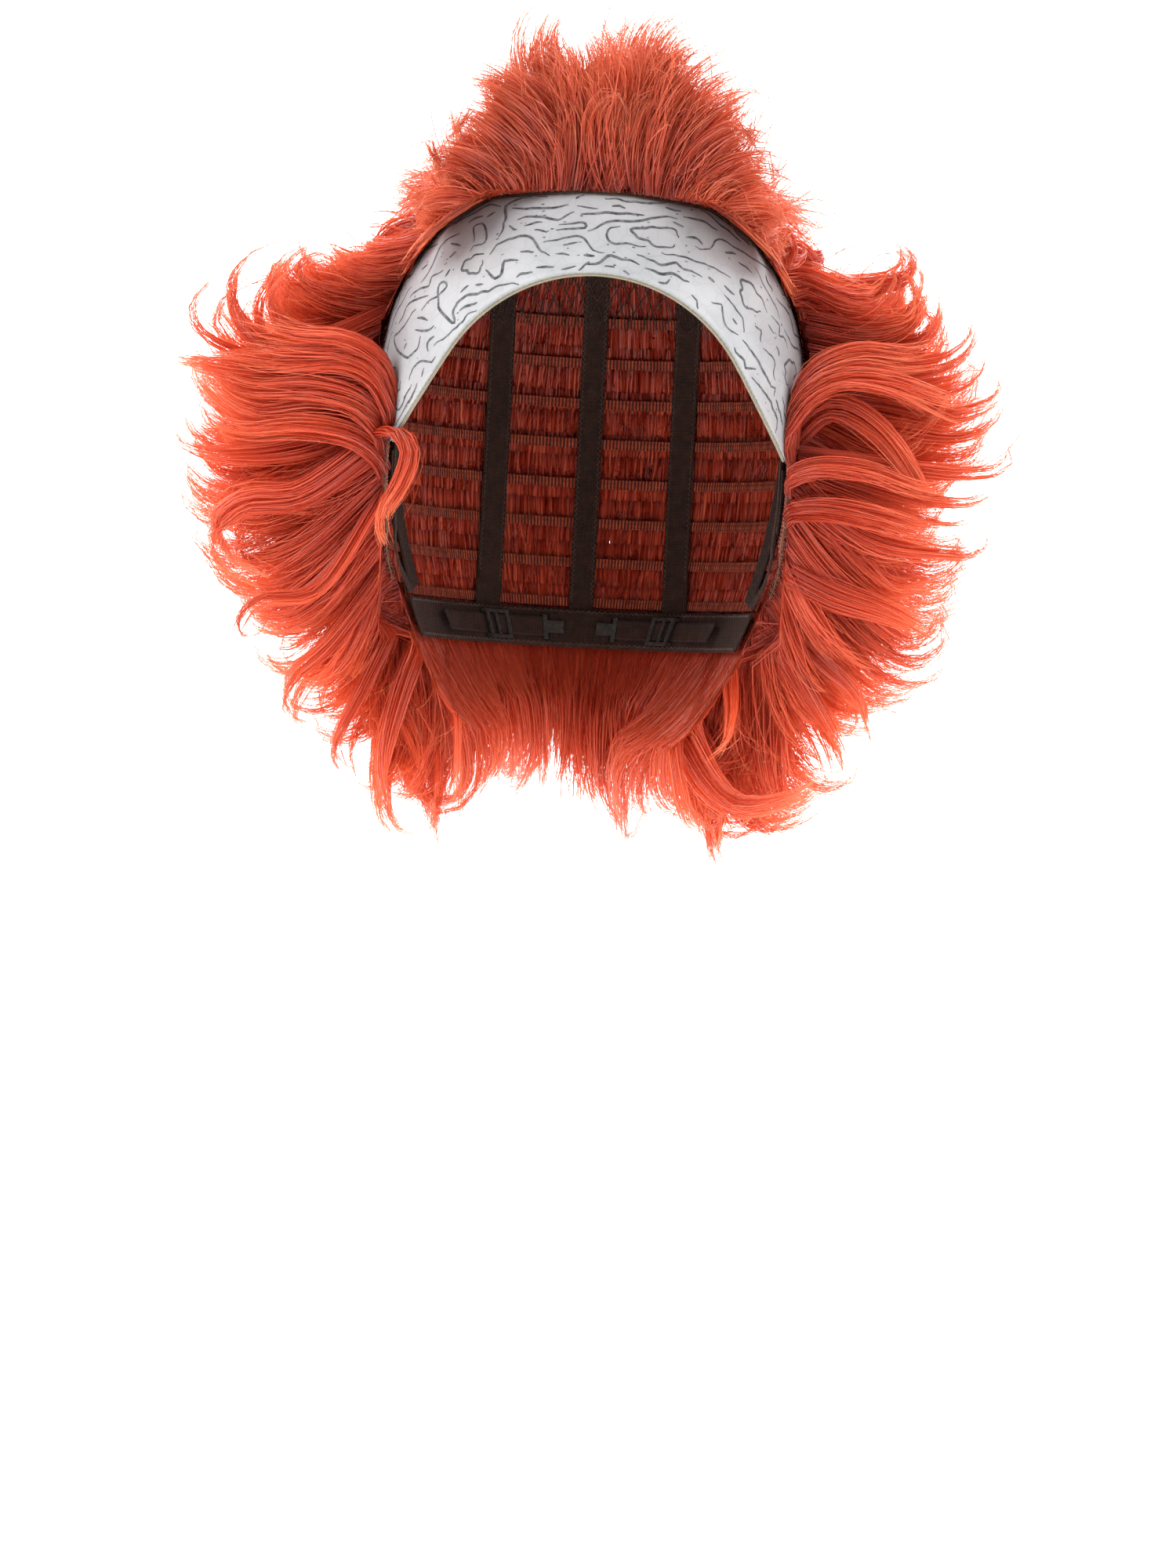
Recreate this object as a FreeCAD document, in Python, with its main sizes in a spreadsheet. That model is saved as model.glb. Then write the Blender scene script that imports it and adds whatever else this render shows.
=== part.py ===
"""A costume wig: a crackle-printed forehead band on an open wefted cap, with full flipped-out hair.

Frame: millimetres, +Z up, and the wearer faces -Y. The origin is the middle of the head cavity at its
widest level, so every layer of the cap is a shell between two head-shaped solids centred there.
Left and right are as seen from in front of the face: left is -X and right is +X.
"""
import FreeCAD, Part
import os
import re
import Sketcher

doc = FreeCAD.newDocument("CostumeWig")

# ---------------------------------------------------------------- driving dimensions
SIZES = {
    # The head that the cap fits: half width, half depth, and half heights above and below the widest level.
    "head_width": 82,
    "head_depth": 96,
    "head_top": 106,
    "head_nape": 150,
    # Layers of the cap, as distances out from that head.
    "tape_inside": -0.8,
    "tape_outside": -0.05,
    "net_outside": 0.8,
    "lining_outside": 1.35,
    "vinyl_inside": 1.4,
    "vinyl_outside": 2.6,
    "ribbon_inside": 0.85,
    "ribbon_outside": 1.6,
    "weft_inside": 1.8,
    "weft_outside": 3.0,
    "hair_inside": 3.3,
    # The band's upper edge in the front view: a flat arc on the middle line, and a tighter arc each side.
    "hairline_top": 75,
    "hairline_flat_radius": 442,
    "hairline_radius": 75,
    "hairline_centre_x": 10.6,
    "hairline_centre_z": 5,
    "band_end_z": 17,
    # Its lower edge: an arc over the brow that runs into a straight line to each tip.
    "brow_radius": 66,
    "brow_centre_z": -23.4,
    "brow_turn_x": 57,
    "brow_turn_z": 10,
    "band_tip_x": 77,
    "band_tip_y": -36,
    "band_tip_z": -22,
    "binding_width": 1.6,
    # The cap's side edge in the side view, from the band's tip past the ear to the nape.
    "ear_low_y": -22,
    "ear_low_z": -55,
    "nape_corner_y": 15,
    "nape_corner_z": -78,
    # Tapes, tabs, ribbons and wefts.
    "edge_tape_width": 8,
    "tab_back_y": -12,
    "tab_low_z": -50,
    "tab_high_z": -26,
    "nape_low_z": -96,
    "nape_high_z": -80,
    "net_low_z": 34,
    "ribbon_width": 10,
    "crown_ribbon_x": 38,
    "side_ribbon_y": 30,
    "side_ribbon_top": 44,
    "weft_width": 4,
    "crown_weft_low_z": 66,
    "crown_weft_first_y": -52,
    "crown_weft_pitch": 20,
    "back_weft_first_z": 55,
    "back_weft_pitch": 16.5,
    # Nape adjusters: straps on a cone about a vertical axis, that follows the inside of the nape.
    "strap_axis_y": 21.1,
    "strap_level": -88,
    "strap_radius": 56.7,
    "strap_lean": 0.466,
    "strap_width": 8,
    "slider_turn": 38,
    # Outer form of the hair: a crest over the brow, and a skirt round the sides and back.
    "crest_x": 78,
    "crest_y": 74,
    "crest_z": 68,
    "crest_centre_y": -20,
    "crest_centre_z": 80,
    "crest_low_z": 62,
    "crest_back_y": 18,
    "crown_x": 76,
    "skirt_x": 162,
    "skirt_y": 130,
    "skirt_z": 148,
    "skirt_centre_y": 35,
    "skirt_centre_z": -30,
    "side_start_x": 2,
    "side_front_y": -46,
    "side_back_y": 62,
    "side_top_z": 60,
    "side_high_z": 20,
    "side_mid_z": -45,
    "side_low_z": -105,
    "neck_x": 46,
    "neck_front_y": -8,
    "hair_gap": 0.4,
    "lock_x": -74.5,
    "lock_y": -52,
    "lock_z": -43,
    "lock_thick": 3.4,
    "lock_length": 24,
}
FAR = 400
CROWN_WEFTS = 6
BACK_WEFTS = 9
SIDES = {"left": -1, "right": 1}

sheet = doc.addObject("Spreadsheet::Sheet", "Sizes")
for row, (alias, number) in enumerate(SIZES.items(), start=1):
    sheet.set(f"A{row}", alias)
    sheet.set(f"B{row}", str(number))
    sheet.setAlias(f"B{row}", alias)
doc.recompute()


# ---------------------------------------------------------------- helpers
def sized(text):
    """An expression written with bare aliases, made to point at the sheet."""
    return re.sub(r"[a-z]+(_[a-z]+)+", lambda word: "Sizes." + word.group(0), str(text))


def bind(thing, **expressions):
    """Binds properties of an object to expressions written with the sheet's aliases."""
    for name, text in expressions.items():
        thing.setExpression(name, sized(text))
    return thing


def place(thing, x=0, y=0, z=0):
    """Binds where an object stands."""
    for axis, text in zip("xyz", (x, y, z)):
        thing.setExpression("Placement.Base." + axis, sized(text))
    return thing


def combine(kind, name, base, tool):
    """A Part boolean of two objects: Cut, Common or Fuse."""
    made = doc.addObject("Part::" + kind, name)
    made.Base = base
    made.Tool = tool
    return made


def box(name, low, high):
    """A box between two corners, each three expressions."""
    made = doc.addObject("Part::Box", name)
    spans = [f"({to}) - ({start})" for start, to in zip(low, high)]
    bind(made, Length=spans[0], Width=spans[1], Height=spans[2])
    return place(made, *low)


def disc(name, radius, x, z):
    """A long cylinder along Y, for an arc that is drawn in the front view."""
    made = doc.addObject("Part::Cylinder", name)
    made.Height = 2 * FAR
    bind(made, Radius=radius)
    made.Placement.Rotation = FreeCAD.Rotation(FreeCAD.Vector(1, 0, 0), 90)
    return place(made, x, FAR, z)


def prism(name, corners, along):
    """A long prism along X or Y over a polygon, whose corners are pairs of expressions.

    A set of variables holds the corners' values, and the sketch's distances are bound to it.
    """
    outline = doc.addObject("Sketcher::SketchObject", name + "_outline")
    turn = FreeCAD.Rotation(FreeCAD.Vector(1, 1, 1), 120)
    if along == "y":
        turn = FreeCAD.Rotation(FreeCAD.Vector(1, 0, 0), 90)
    outline.Placement.Rotation = turn
    probe = doc.addObject("App::VarSet", name + "_corners")
    points = []
    for number, pair in enumerate(corners):
        for letter, text in zip("uv", pair):
            probe.addProperty("App::PropertyFloat", f"{letter}{number}")
            probe.setExpression(f"{letter}{number}", sized(text))
    doc.recompute()
    for number in range(len(corners)):
        points.append(FreeCAD.Vector(getattr(probe, f"u{number}"), getattr(probe, f"v{number}"), 0))
    for number, point in enumerate(points):
        outline.addGeometry(Part.LineSegment(point, points[(number + 1) % len(points)]))
    for number, point in enumerate(points):
        before = (number - 1) % len(points)
        outline.addConstraint(Sketcher.Constraint("Coincident", before, 2, number, 1))
        for kind, distance, letter in (("DistanceX", point.x, "u"), ("DistanceY", point.y, "v")):
            at = outline.addConstraint(Sketcher.Constraint(kind, -1, 1, number, 1, distance))
            outline.setExpression(f"Constraints[{at}]", f"{probe.Name}.{letter}{number} * 1 mm")
    made = doc.addObject("Part::Extrusion", name)
    made.Base = outline
    made.DirMode = "Normal"
    made.LengthFwd = FAR
    made.LengthRev = FAR
    made.Solid = True
    return made


forms = {}


def head_form(offset):
    """The head grown by an offset: a rounder half above the widest level and a longer half below."""
    if offset not in forms:
        halves = []
        for half, height, low, high in (("top", "head_top", 0, 90), ("nape", "head_nape", -90, 0)):
            made = doc.addObject("Part::Ellipsoid", f"head_{offset}_{half}")
            made.Angle1 = low
            made.Angle2 = high
            bind(made, Radius1=f"{height} + {offset}", Radius2=f"head_width + {offset}")
            bind(made, Radius3=f"head_depth + {offset}")
            halves.append(made)
        forms[offset] = combine("Fuse", f"head_{offset}", *halves)
    return forms[offset]


def shell(inside, outside):
    """A layer of the cap between two offsets of the head."""
    key = (inside, outside)
    if key not in forms:
        forms[key] = combine("Cut", f"layer_{outside}", head_form(outside), head_form(inside))
    return forms[key]


pieces = {}


def piece(name, made):
    """Names a finished sub-part."""
    made.Label = name
    pieces[name] = made
    return made


def carve(name, shape, inside=(), outside=()):
    """What is left of a shape inside some tools and outside others, as a finished sub-part."""
    steps = [("Common", tool) for tool in inside] + [("Cut", tool) for tool in outside]
    for number, (kind, tool) in enumerate(steps, start=1):
        shape = combine(kind, f"{name}_step{number}", shape, tool)
    return piece(name, shape)


# ---------------------------------------------------------------- the face side of the cap
def brow(margin):
    """All that lies below the band's lower edge in the front view, grown by a margin."""
    tag = f"brow_{len(forms)}"
    arc = disc(f"{tag}_arc", f"brow_radius + {margin}", 0, "brow_centre_z")
    turn_x = f"brow_turn_x + 0.86 * ({margin})"
    turn_z = f"brow_turn_z + 0.5 * ({margin})"
    tip_x = f"band_tip_x + 0.86 * ({margin})"
    tip_z = f"band_tip_z + 0.5 * ({margin})"
    half = [(turn_x, turn_z), (tip_x, tip_z), (tip_x, "band_tip_z - 40")]
    mirrored = [(f"-({x})", z) for x, z in reversed(half)]
    straight = prism(f"{tag}_sides", half + mirrored, "y")
    forms[tag] = combine("Fuse", tag, arc, straight)
    return forms[tag]


def face_side(margin):
    """All that lies in front of the hairline and the cap's side edge, grown by a margin."""
    key = f"face {margin}"
    if key in forms:
        return forms[key]
    tag = f"face_{len(forms)}"
    lobes = []
    for side, sign in SIDES.items():
        radius = f"hairline_radius + {margin}"
        lobes.append(disc(f"{tag}_{side}", radius, f"{sign} * hairline_centre_x", "hairline_centre_z"))
    arch = combine("Fuse", f"{tag}_lobes", *lobes)
    flat = disc(f"{tag}_flat", f"hairline_flat_radius + {margin}", 0, "hairline_top - hairline_flat_radius")
    arch = combine("Common", f"{tag}_arch", arch, flat)
    front = box(f"{tag}_front", (-FAR, -FAR, "band_end_z - 1"), (FAR, margin, FAR))
    arch = combine("Common", f"{tag}_upper", arch, front)
    edge = [
        (-FAR, "band_end_z"),
        (margin, "band_end_z"),
        (f"band_tip_y + {margin}", "band_tip_z"),
        (f"ear_low_y + {margin}", "ear_low_z"),
        (f"nape_corner_y + {margin}", "nape_corner_z"),
        (f"nape_corner_y + {margin}", -FAR),
        (-FAR, -FAR),
    ]
    forms[key] = combine("Fuse", tag, arch, prism(f"{tag}_lower", edge, "x"))
    return forms[key]


def half_space(side, z_low=-FAR, z_high=FAR):
    """The space on one side of the middle line between two levels."""
    tag = f"{side}_half_{len(forms)}"
    x_low, x_high = (-FAR, 0) if side == "left" else (0, FAR)
    forms[tag] = box(tag, (x_low, -FAR, z_low), (x_high, FAR, z_high))
    return forms[tag]


band_face = face_side("0")
above_tip = box("above_tip", (-FAR, -FAR, "band_tip_z + 2"), (FAR, FAR, FAR))
brow_edge = brow("0")
carve("forehead_band", shell("vinyl_inside", "vinyl_outside"), (band_face, above_tip), (brow_edge,))
carve("forehead_lining", shell("0", "lining_outside"), (band_face, above_tip), (brow_edge,))
binding_outside = brow("-0.1")
binding_inside = brow("-0.1 - binding_width")
edge_layer = shell("tape_inside", "vinyl_outside")
carve("band_edge_binding", edge_layer, (band_face, above_tip, binding_outside), (binding_inside,))

# ---------------------------------------------------------------- net, tapes and ribbons of the cap
cap_edge = face_side("0.3")
tape = shell("tape_inside", "tape_outside")
above_band_end = box("above_band_end", (-FAR, -FAR, "band_end_z + 1"), (FAR, FAR, FAR))
carve("band_seam_tape", tape, (face_side("2"), above_band_end), (face_side("-4"),))
net_space = box("net_space", (-FAR, -FAR, "net_low_z"), (FAR, FAR, FAR))
net = shell("0", "net_outside")
carve("crown_net", net, (net_space,), (cap_edge,))
nape_space = box("nape_space", (-FAR, "nape_corner_y", "nape_low_z"), (FAR, FAR, "nape_high_z"))
carve("nape_tape", net, (nape_space,), (cap_edge,))

ribbon = shell("ribbon_inside", "ribbon_outside")
ribbon_centres = {"centre": "0", "left_crown": "-crown_ribbon_x", "right_crown": "crown_ribbon_x"}
for label, centre in ribbon_centres.items():
    low = (f"{centre} - ribbon_width / 2", -FAR, "nape_high_z + 1")
    strip = box(f"{label}_strip", low, (f"{centre} + ribbon_width / 2", FAR, FAR))
    carve(f"{label}_ribbon", ribbon, (strip,), (cap_edge,))

for side in SIDES:
    edge_space = half_space(side, "nape_corner_z", "band_end_z")
    carve(f"{side}_edge_tape", tape, (edge_space, face_side("0.3 + edge_tape_width")), (cap_edge,))
    tab_space = half_space(side, "tab_low_z", "tab_high_z")
    tab_front = box(f"{side}_tab_front", (-FAR, -FAR, -FAR), (FAR, "tab_back_y", FAR))
    carve(f"{side}_ear_tab", net, (tab_space, tab_front), (cap_edge,))
    side_space = half_space(side, "nape_high_z + 4", "side_ribbon_top")
    low = (-FAR, "side_ribbon_y - ribbon_width / 2", -FAR)
    strip = box(f"{side}_side_strip", low, (FAR, "side_ribbon_y + ribbon_width / 2", FAR))
    carve(f"{side}_side_ribbon", ribbon, (side_space, strip))

# ---------------------------------------------------------------- wefts, the sewn heads of the hair
weft = shell("weft_inside", "weft_outside")
first_row = face_side("1")
second_row = face_side("1 + weft_width")
carve("hairline_weft", weft, (second_row, above_band_end), (first_row,))
for side in SIDES:
    temple = half_space(side, "ear_low_z", "band_end_z")
    carve(f"{side}_temple_weft", weft, (temple, second_row), (first_row,))

clear_of_rows = face_side("2 + weft_width")
for number in range(CROWN_WEFTS):
    middle = f"crown_weft_first_y + {number} * crown_weft_pitch"
    low = (-FAR, f"{middle} - weft_width / 2", "crown_weft_low_z")
    strip = box(f"crown_row_{number + 1}", low, (FAR, f"{middle} + weft_width / 2", FAR))
    carve(f"crown_weft_{number + 1}", weft, (strip,), (clear_of_rows,))
for number in range(BACK_WEFTS):
    middle = f"back_weft_first_z - {number} * back_weft_pitch"
    low = (-FAR, -FAR, f"{middle} - weft_width / 2")
    strip = box(f"back_row_{number + 1}", low, (FAR, FAR, f"{middle} + weft_width / 2"))
    carve(f"back_weft_{number + 1}", weft, (strip,), (clear_of_rows,))


# ---------------------------------------------------------------- nape adjusters
def cone(name, depth, rise_low, rise_high, start, turn):
    """A sector of the nape's cone, at a depth inside the nape and between two rises above strap level."""
    made = doc.addObject("Part::Cone", name)
    made.Angle = turn
    made.Placement.Rotation = FreeCAD.Rotation(FreeCAD.Vector(0, 0, 1), start)
    radius = "strap_radius - {} + strap_lean * ({})"
    bind(made, Radius1=radius.format(depth, rise_low), Radius2=radius.format(depth, rise_high))
    bind(made, Height=f"({rise_high}) - ({rise_low})")
    return place(made, 0, "strap_axis_y", f"strap_level + {rise_low}")


def nape_arc(name, side, depths, rises, turns):
    """A bent plate inside the nape: two depths, two rises and two turns from the centre back."""
    start = 90 - turns[1] if side == "right" else 90 + turns[0]
    span = turns[1] - turns[0]
    solids = [cone(f"{name}_{depth_end}", depth, *rises, start, span)
              for depth_end, depth in zip(("outer", "inner"), depths)]
    return combine("Cut", name, *solids)


def nape_piece(name, side, plates):
    """A finished sub-part fused from bent plates, each given as depths, rises and turns."""
    made = None
    for number, (depths, rises, turns) in enumerate(plates, start=1):
        plate = nape_arc(f"{name}_plate{number}", side, depths, rises, turns)
        made = plate if made is None else combine("Fuse", f"{name}_join{number}", made, plate)
    return piece(name, made)


HOOK_TURN = 16
ANCHOR_TURN = 72
STRAP_DEPTHS = (0.5, 1.4)
RETURN_DEPTHS = (1.7, 2.5)
SLIDER_HALF_TURN = 6
strap_rises = ("-strap_width / 2", "strap_width / 2")
slider_rises = ("-strap_width / 2 - 1.8", "strap_width / 2 + 1.8")
slider_turn = float(sheet.get("slider_turn"))
ends = (slider_turn - SLIDER_HALF_TURN, slider_turn + SLIDER_HALF_TURN)
rail_depths = (0.5, 3.7)
for side in SIDES:
    nape_piece(f"{side}_slider_strap", side, [(STRAP_DEPTHS, strap_rises, (HOOK_TURN + 0.2, ANCHOR_TURN))])
    returned = (HOOK_TURN + 0.2, slider_turn - 1)
    nape_piece(f"{side}_strap_return", side, [(RETURN_DEPTHS, strap_rises, returned)])
    nape_piece(f"{side}_slider", side, [
        (rail_depths, ("strap_width / 2 + 0.4", slider_rises[1]), ends),
        (rail_depths, (slider_rises[0], "-strap_width / 2 - 0.4"), ends),
        ((2.8, 3.7), slider_rises, (ends[0], ends[0] + 1.8)),
        ((2.8, 3.7), slider_rises, (ends[1] - 1.8, ends[1])),
        ((1.7, 3.0), slider_rises, (slider_turn - 0.8, slider_turn + 0.8)),
    ])
    nape_piece(f"{side}_strap_hook", side, [
        ((0.6, 2.6), ("-strap_width / 2 - 1", "strap_width / 2 + 1"), (HOOK_TURN - 2, HOOK_TURN)),
        ((1.6, 2.6), (-2.5, 2.5), (HOOK_TURN - 9, HOOK_TURN - 2)),
        ((0.6, 2.6), (-2.5, 2.5), (HOOK_TURN - 9, HOOK_TURN - 8)),
    ])
    nape_piece(f"{side}_hook_loop", side, [
        ((0.7, 1.3), (-5.5, 5.5), (HOOK_TURN - 6.5, HOOK_TURN - 3.5)),
        ((0.2, 1.3), (4, 5.5), (HOOK_TURN - 6.5, HOOK_TURN - 3.5)),
        ((0.2, 1.3), (-5.5, -4), (HOOK_TURN - 6.5, HOOK_TURN - 3.5)),
    ])

# ---------------------------------------------------------------- hair
under_hair = head_form("hair_inside")
hair_edge = face_side("1")


def hair_form(name):
    """One of the two outer forms of the hair: the crest or the skirt."""
    made = doc.addObject("Part::Ellipsoid", name + "_form")
    made.Angle1 = -90
    bind(made, Radius1=f"{name}_z", Radius2=f"{name}_x", Radius3=f"{name}_y")
    return place(made, 0, f"{name}_centre_y", f"{name}_centre_z")


crest = hair_form("crest")
skirt = hair_form("skirt")
crest_space = box("crest_space", (-FAR, -FAR, "crest_low_z"), (FAR, "crest_back_y", FAR))
carve("crest_hair", crest, (crest_space,), (under_hair, hair_edge))
crown_low = ("-crown_x", "crest_back_y + hair_gap", "crest_low_z")
crown_space = box("crown_space", crown_low, ("crown_x", FAR, FAR))
carve("crown_hair", skirt, (crown_space,), (under_hair,))

SIDE_LEVELS = {
    "upper": ("side_high_z", "side_top_z"),
    "middle": ("side_mid_z", "side_high_z"),
    "lower": ("side_low_z", "side_mid_z"),
    "nape": (-FAR, "side_low_z"),
}
face_gap = box("face_gap", ("-head_width - 4", -FAR, -FAR), ("head_width + 4", FAR, FAR))
near_face = combine("Common", "near_face", hair_edge, face_gap)
neck_gap = box("neck_gap", ("-neck_x", -FAR, -FAR), ("neck_x", "side_back_y", "nape_low_z"))
for side in SIDES:
    x_low, x_high = (-FAR, "-side_start_x") if side == "left" else ("side_start_x", FAR)
    for level, (low_z, high_z) in SIDE_LEVELS.items():
        front = "neck_front_y" if level == "nape" else "side_front_y"
        space = box(f"{side}_{level}_space", (x_low, front, low_z),
                    (x_high, "side_back_y", f"{high_z} - hair_gap"))
        carve(f"{side}_hair_{level}", skirt, (space,), (under_hair, near_face, neck_gap))

BACK_LEVELS = {
    "upper": ("side_high_z", "side_top_z"),
    "middle": ("side_mid_z", "side_high_z"),
    "lower": (-FAR, "side_mid_z"),
}
for level, (low_z, high_z) in BACK_LEVELS.items():
    space = box(f"back_{level}_space", (-FAR, "side_back_y + hair_gap", low_z),
                (FAR, FAR, f"{high_z} - hair_gap"))
    carve(f"back_hair_{level}", skirt, (space,), (under_hair,))

lock = doc.addObject("Part::Ellipsoid", "left_temple_lock")
lock.Angle1 = -90
bind(lock, Radius1="lock_length", Radius2="lock_thick", Radius3="lock_thick")
piece("left_temple_lock", place(lock, "lock_x", "lock_y", "lock_z"))

# ---------------------------------------------------------------- check and write
doc.recompute()
for thing in doc.Objects:
    if "Invalid" in thing.State or "Error" in thing.State:
        raise RuntimeError(f"{thing.Label} failed: {thing.State}")
os.makedirs("parts", exist_ok=True)
for name, made in pieces.items():
    shape = made.Shape
    if shape.isNull() or not shape.isValid() or not shape.Solids:
        raise RuntimeError(f"{name} has no valid solid")
for name, made in pieces.items():
    made.Shape.exportStep(f"parts/{name}.step")
    print(f"{name}: {len(made.Shape.Solids)} solid(s), {made.Shape.Volume / 1000:.2f} cm3")
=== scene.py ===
"""The looks of a costume wig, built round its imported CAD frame.

The wearer faces -Y, left is -X and the origin is the middle of the head cavity. Shapes are worked out in
millimetres in arrays, and become metres where a mesh is made.
"""
import bpy
import math
import numpy as np
from mathutils import Matrix, Vector


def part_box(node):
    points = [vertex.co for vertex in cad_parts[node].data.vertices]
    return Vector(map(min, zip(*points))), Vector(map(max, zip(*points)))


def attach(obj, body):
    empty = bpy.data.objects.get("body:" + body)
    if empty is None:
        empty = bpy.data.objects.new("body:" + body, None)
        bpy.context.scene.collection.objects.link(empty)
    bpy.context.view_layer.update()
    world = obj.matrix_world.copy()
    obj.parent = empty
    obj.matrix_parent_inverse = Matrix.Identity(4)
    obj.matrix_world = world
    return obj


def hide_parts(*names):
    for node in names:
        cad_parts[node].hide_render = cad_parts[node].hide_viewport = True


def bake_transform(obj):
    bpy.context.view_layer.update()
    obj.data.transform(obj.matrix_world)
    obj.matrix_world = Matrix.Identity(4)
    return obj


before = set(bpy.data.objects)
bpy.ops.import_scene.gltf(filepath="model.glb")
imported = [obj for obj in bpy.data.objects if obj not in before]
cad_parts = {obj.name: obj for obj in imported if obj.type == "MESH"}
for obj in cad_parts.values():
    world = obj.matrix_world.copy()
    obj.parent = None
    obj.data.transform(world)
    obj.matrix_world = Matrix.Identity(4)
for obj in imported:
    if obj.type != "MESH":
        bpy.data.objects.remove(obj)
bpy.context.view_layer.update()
MM = 0.001
SIDES = ((-1, "left"), (1, "right"))

# ---------------------------------------------------------------- the head and the cap's edges, in mm
HEAD_WIDTH = 82.0
HEAD_DEPTH = 96.0
HEAD_TOP = 106.0
HEAD_NAPE = 150.0
NET = 0.4
VINYL = 2.6
WEFT = 3.0
HAIR = 3.5

HAIRLINE_TOP = 75.0
HAIRLINE_FLAT = 442.0
HAIRLINE_RADIUS = 75.0
HAIRLINE_CENTRE = (10.6, 5.0)
BAND_END_Z = 17.0
BROW_RADIUS = 66.0
BROW_CENTRE_Z = -23.4
BROW_TURN = (57.0, 10.0)
BAND_TIP = (77.0, -36.0, -22.0)
# The cap's side edge in the side view, as levels and how far back it is there.
EDGE_Z = (-96.0, -78.0, -55.0, -22.0, 17.0)
EDGE_Y = (15.0, 15.0, -22.0, -36.0, 0.0)


def unit(v):
    """Vectors scaled to length one."""
    v = np.asarray(v, float)
    return v / np.maximum(np.linalg.norm(v, axis=-1, keepdims=True), 1e-9)


def semi(offset, z):
    """The head form's three half sizes at an offset, for points at these heights."""
    z = np.asarray(z, float)
    tall = np.where(z >= 0, HEAD_TOP, HEAD_NAPE) + offset
    return np.stack([np.full_like(z, HEAD_WIDTH + offset), np.full_like(z, HEAD_DEPTH + offset), tall], -1)


def depth_in_head(points, offset):
    """Below 1 inside the head form grown by an offset, 1 on it and more outside."""
    return np.linalg.norm(points / semi(offset, points[..., 2]), axis=-1)


def on_head(points, offset):
    """Points moved straight out from the middle on to the head form."""
    points = np.asarray(points, float)
    return points / depth_in_head(points, offset)[..., None]


def head_normal(points, offset=0.0):
    """The head form's outward direction at points on it."""
    return unit(points / semi(offset, points[..., 2]) ** 2)


def form_at(x, y, z, offset, missing):
    """Points on the head form where two coordinates are known, and the missing one is found as positive."""
    known = [x, y, z]
    half = semi(offset, 1.0 if missing == 2 else z)
    room = 1.0
    for axis in range(3):
        if axis != missing:
            room = room - (known[axis] / half[..., axis]) ** 2
    known[missing] = half[..., missing] * np.sqrt(np.maximum(room, 0))
    return np.stack(np.broadcast_arrays(*known), -1)


def ring_share(half, z):
    """The head form's girth at a height, as a share of its widest."""
    return np.sqrt(np.maximum(1 - (z / half[..., 2]) ** 2, 1e-4))


def ring_point(turn, z, offset):
    """A point on the head form at a height, at a turn from the back in radians, to +X for positive."""
    half = semi(offset, z)
    share = ring_share(half, z)
    return np.stack([half[..., 0] * share * np.sin(turn), half[..., 1] * share * np.cos(turn),
                     np.zeros_like(turn) + z], -1)


def hairline_x(z):
    """How far from the middle line the band's upper edge is, at heights on its arc."""
    rise = np.clip((np.asarray(z, float) - HAIRLINE_CENTRE[1]) / HAIRLINE_RADIUS, -1, 1)
    return HAIRLINE_CENTRE[0] + HAIRLINE_RADIUS * np.sqrt(1 - rise ** 2)


def hairline_z(x):
    """How high the flat middle of the band's upper edge is, at distances from the middle line."""
    return HAIRLINE_TOP - HAIRLINE_FLAT + np.sqrt(HAIRLINE_FLAT ** 2 - np.minimum(np.abs(x), 200) ** 2)


def front_turn(z, offset):
    """The turn from the back at which the cap's edge is met, at a height."""
    half = semi(offset, z)
    share = ring_share(half, z)
    at_arc = math.pi - np.arcsin(np.clip(hairline_x(z) / (half[..., 0] * share), -1, 1))
    at_side = np.arccos(np.clip(np.interp(z, EDGE_Z, EDGE_Y) / (half[..., 1] * share), -1, 1))
    return np.where(np.asarray(z) > BAND_END_Z, at_arc, at_side)


# ---------------------------------------------------------------- meshes
def add_mesh(name, vertices, quads, uvs=None, normals=None, material=None, body="cap", slot=None, nodes=()):
    """A mesh object from arrays in millimetres. It rides on a body, takes its finish from a material and
    stands for CAD nodes. slot is not used. uvs are one for each vertex."""
    mesh = bpy.data.meshes.new(name)
    vertices = np.asarray(vertices, float).reshape(-1, 3)
    quads = np.asarray(quads, np.int64)
    corners = quads.shape[1]
    mesh.vertices.add(len(vertices))
    mesh.vertices.foreach_set("co", (vertices * MM).astype(np.float32).ravel())
    mesh.loops.add(quads.size)
    mesh.loops.foreach_set("vertex_index", quads.astype(np.int32).ravel())
    mesh.polygons.add(len(quads))
    mesh.polygons.foreach_set("loop_start", np.arange(0, quads.size, corners, dtype=np.int32))
    mesh.polygons.foreach_set("use_smooth", np.ones(len(quads), bool))
    if uvs is not None:
        layer = mesh.uv_layers.new(name="OFBake")
        layer.data.foreach_set("uv", np.asarray(uvs, np.float32).reshape(-1, 2)[quads.ravel()].ravel())
    mesh.update(calc_edges=True)
    if normals is not None:
        mesh.normals_split_custom_set_from_vertices(np.asarray(normals, np.float32).reshape(-1, 3))
    piece = bpy.data.objects.new(name, mesh)
    bpy.context.scene.collection.objects.link(piece)
    mesh.materials.append(material)
    if body is not None:
        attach(piece, body)
    if nodes:
        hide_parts(*nodes)
    return piece


def grid_quads(rows, columns, around=False):
    """The quads of a grid of points, closed round its columns if asked."""
    last = columns if around else columns - 1
    row, column = np.meshgrid(np.arange(rows - 1), np.arange(last), indexing="ij")
    following = (column + 1) % columns
    here = row * columns
    return np.stack([here + column, here + following, here + columns + following, here + columns + column],
                    -1).reshape(-1, 4)


def frames_along(path, hint):
    """Tangents of a path, and two directions square to it, the first near a hint."""
    tangent = unit(np.gradient(path, axis=-2))
    first = unit(hint - (hint * tangent).sum(-1, keepdims=True) * tangent)
    return tangent, first, np.cross(tangent, first)


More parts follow.
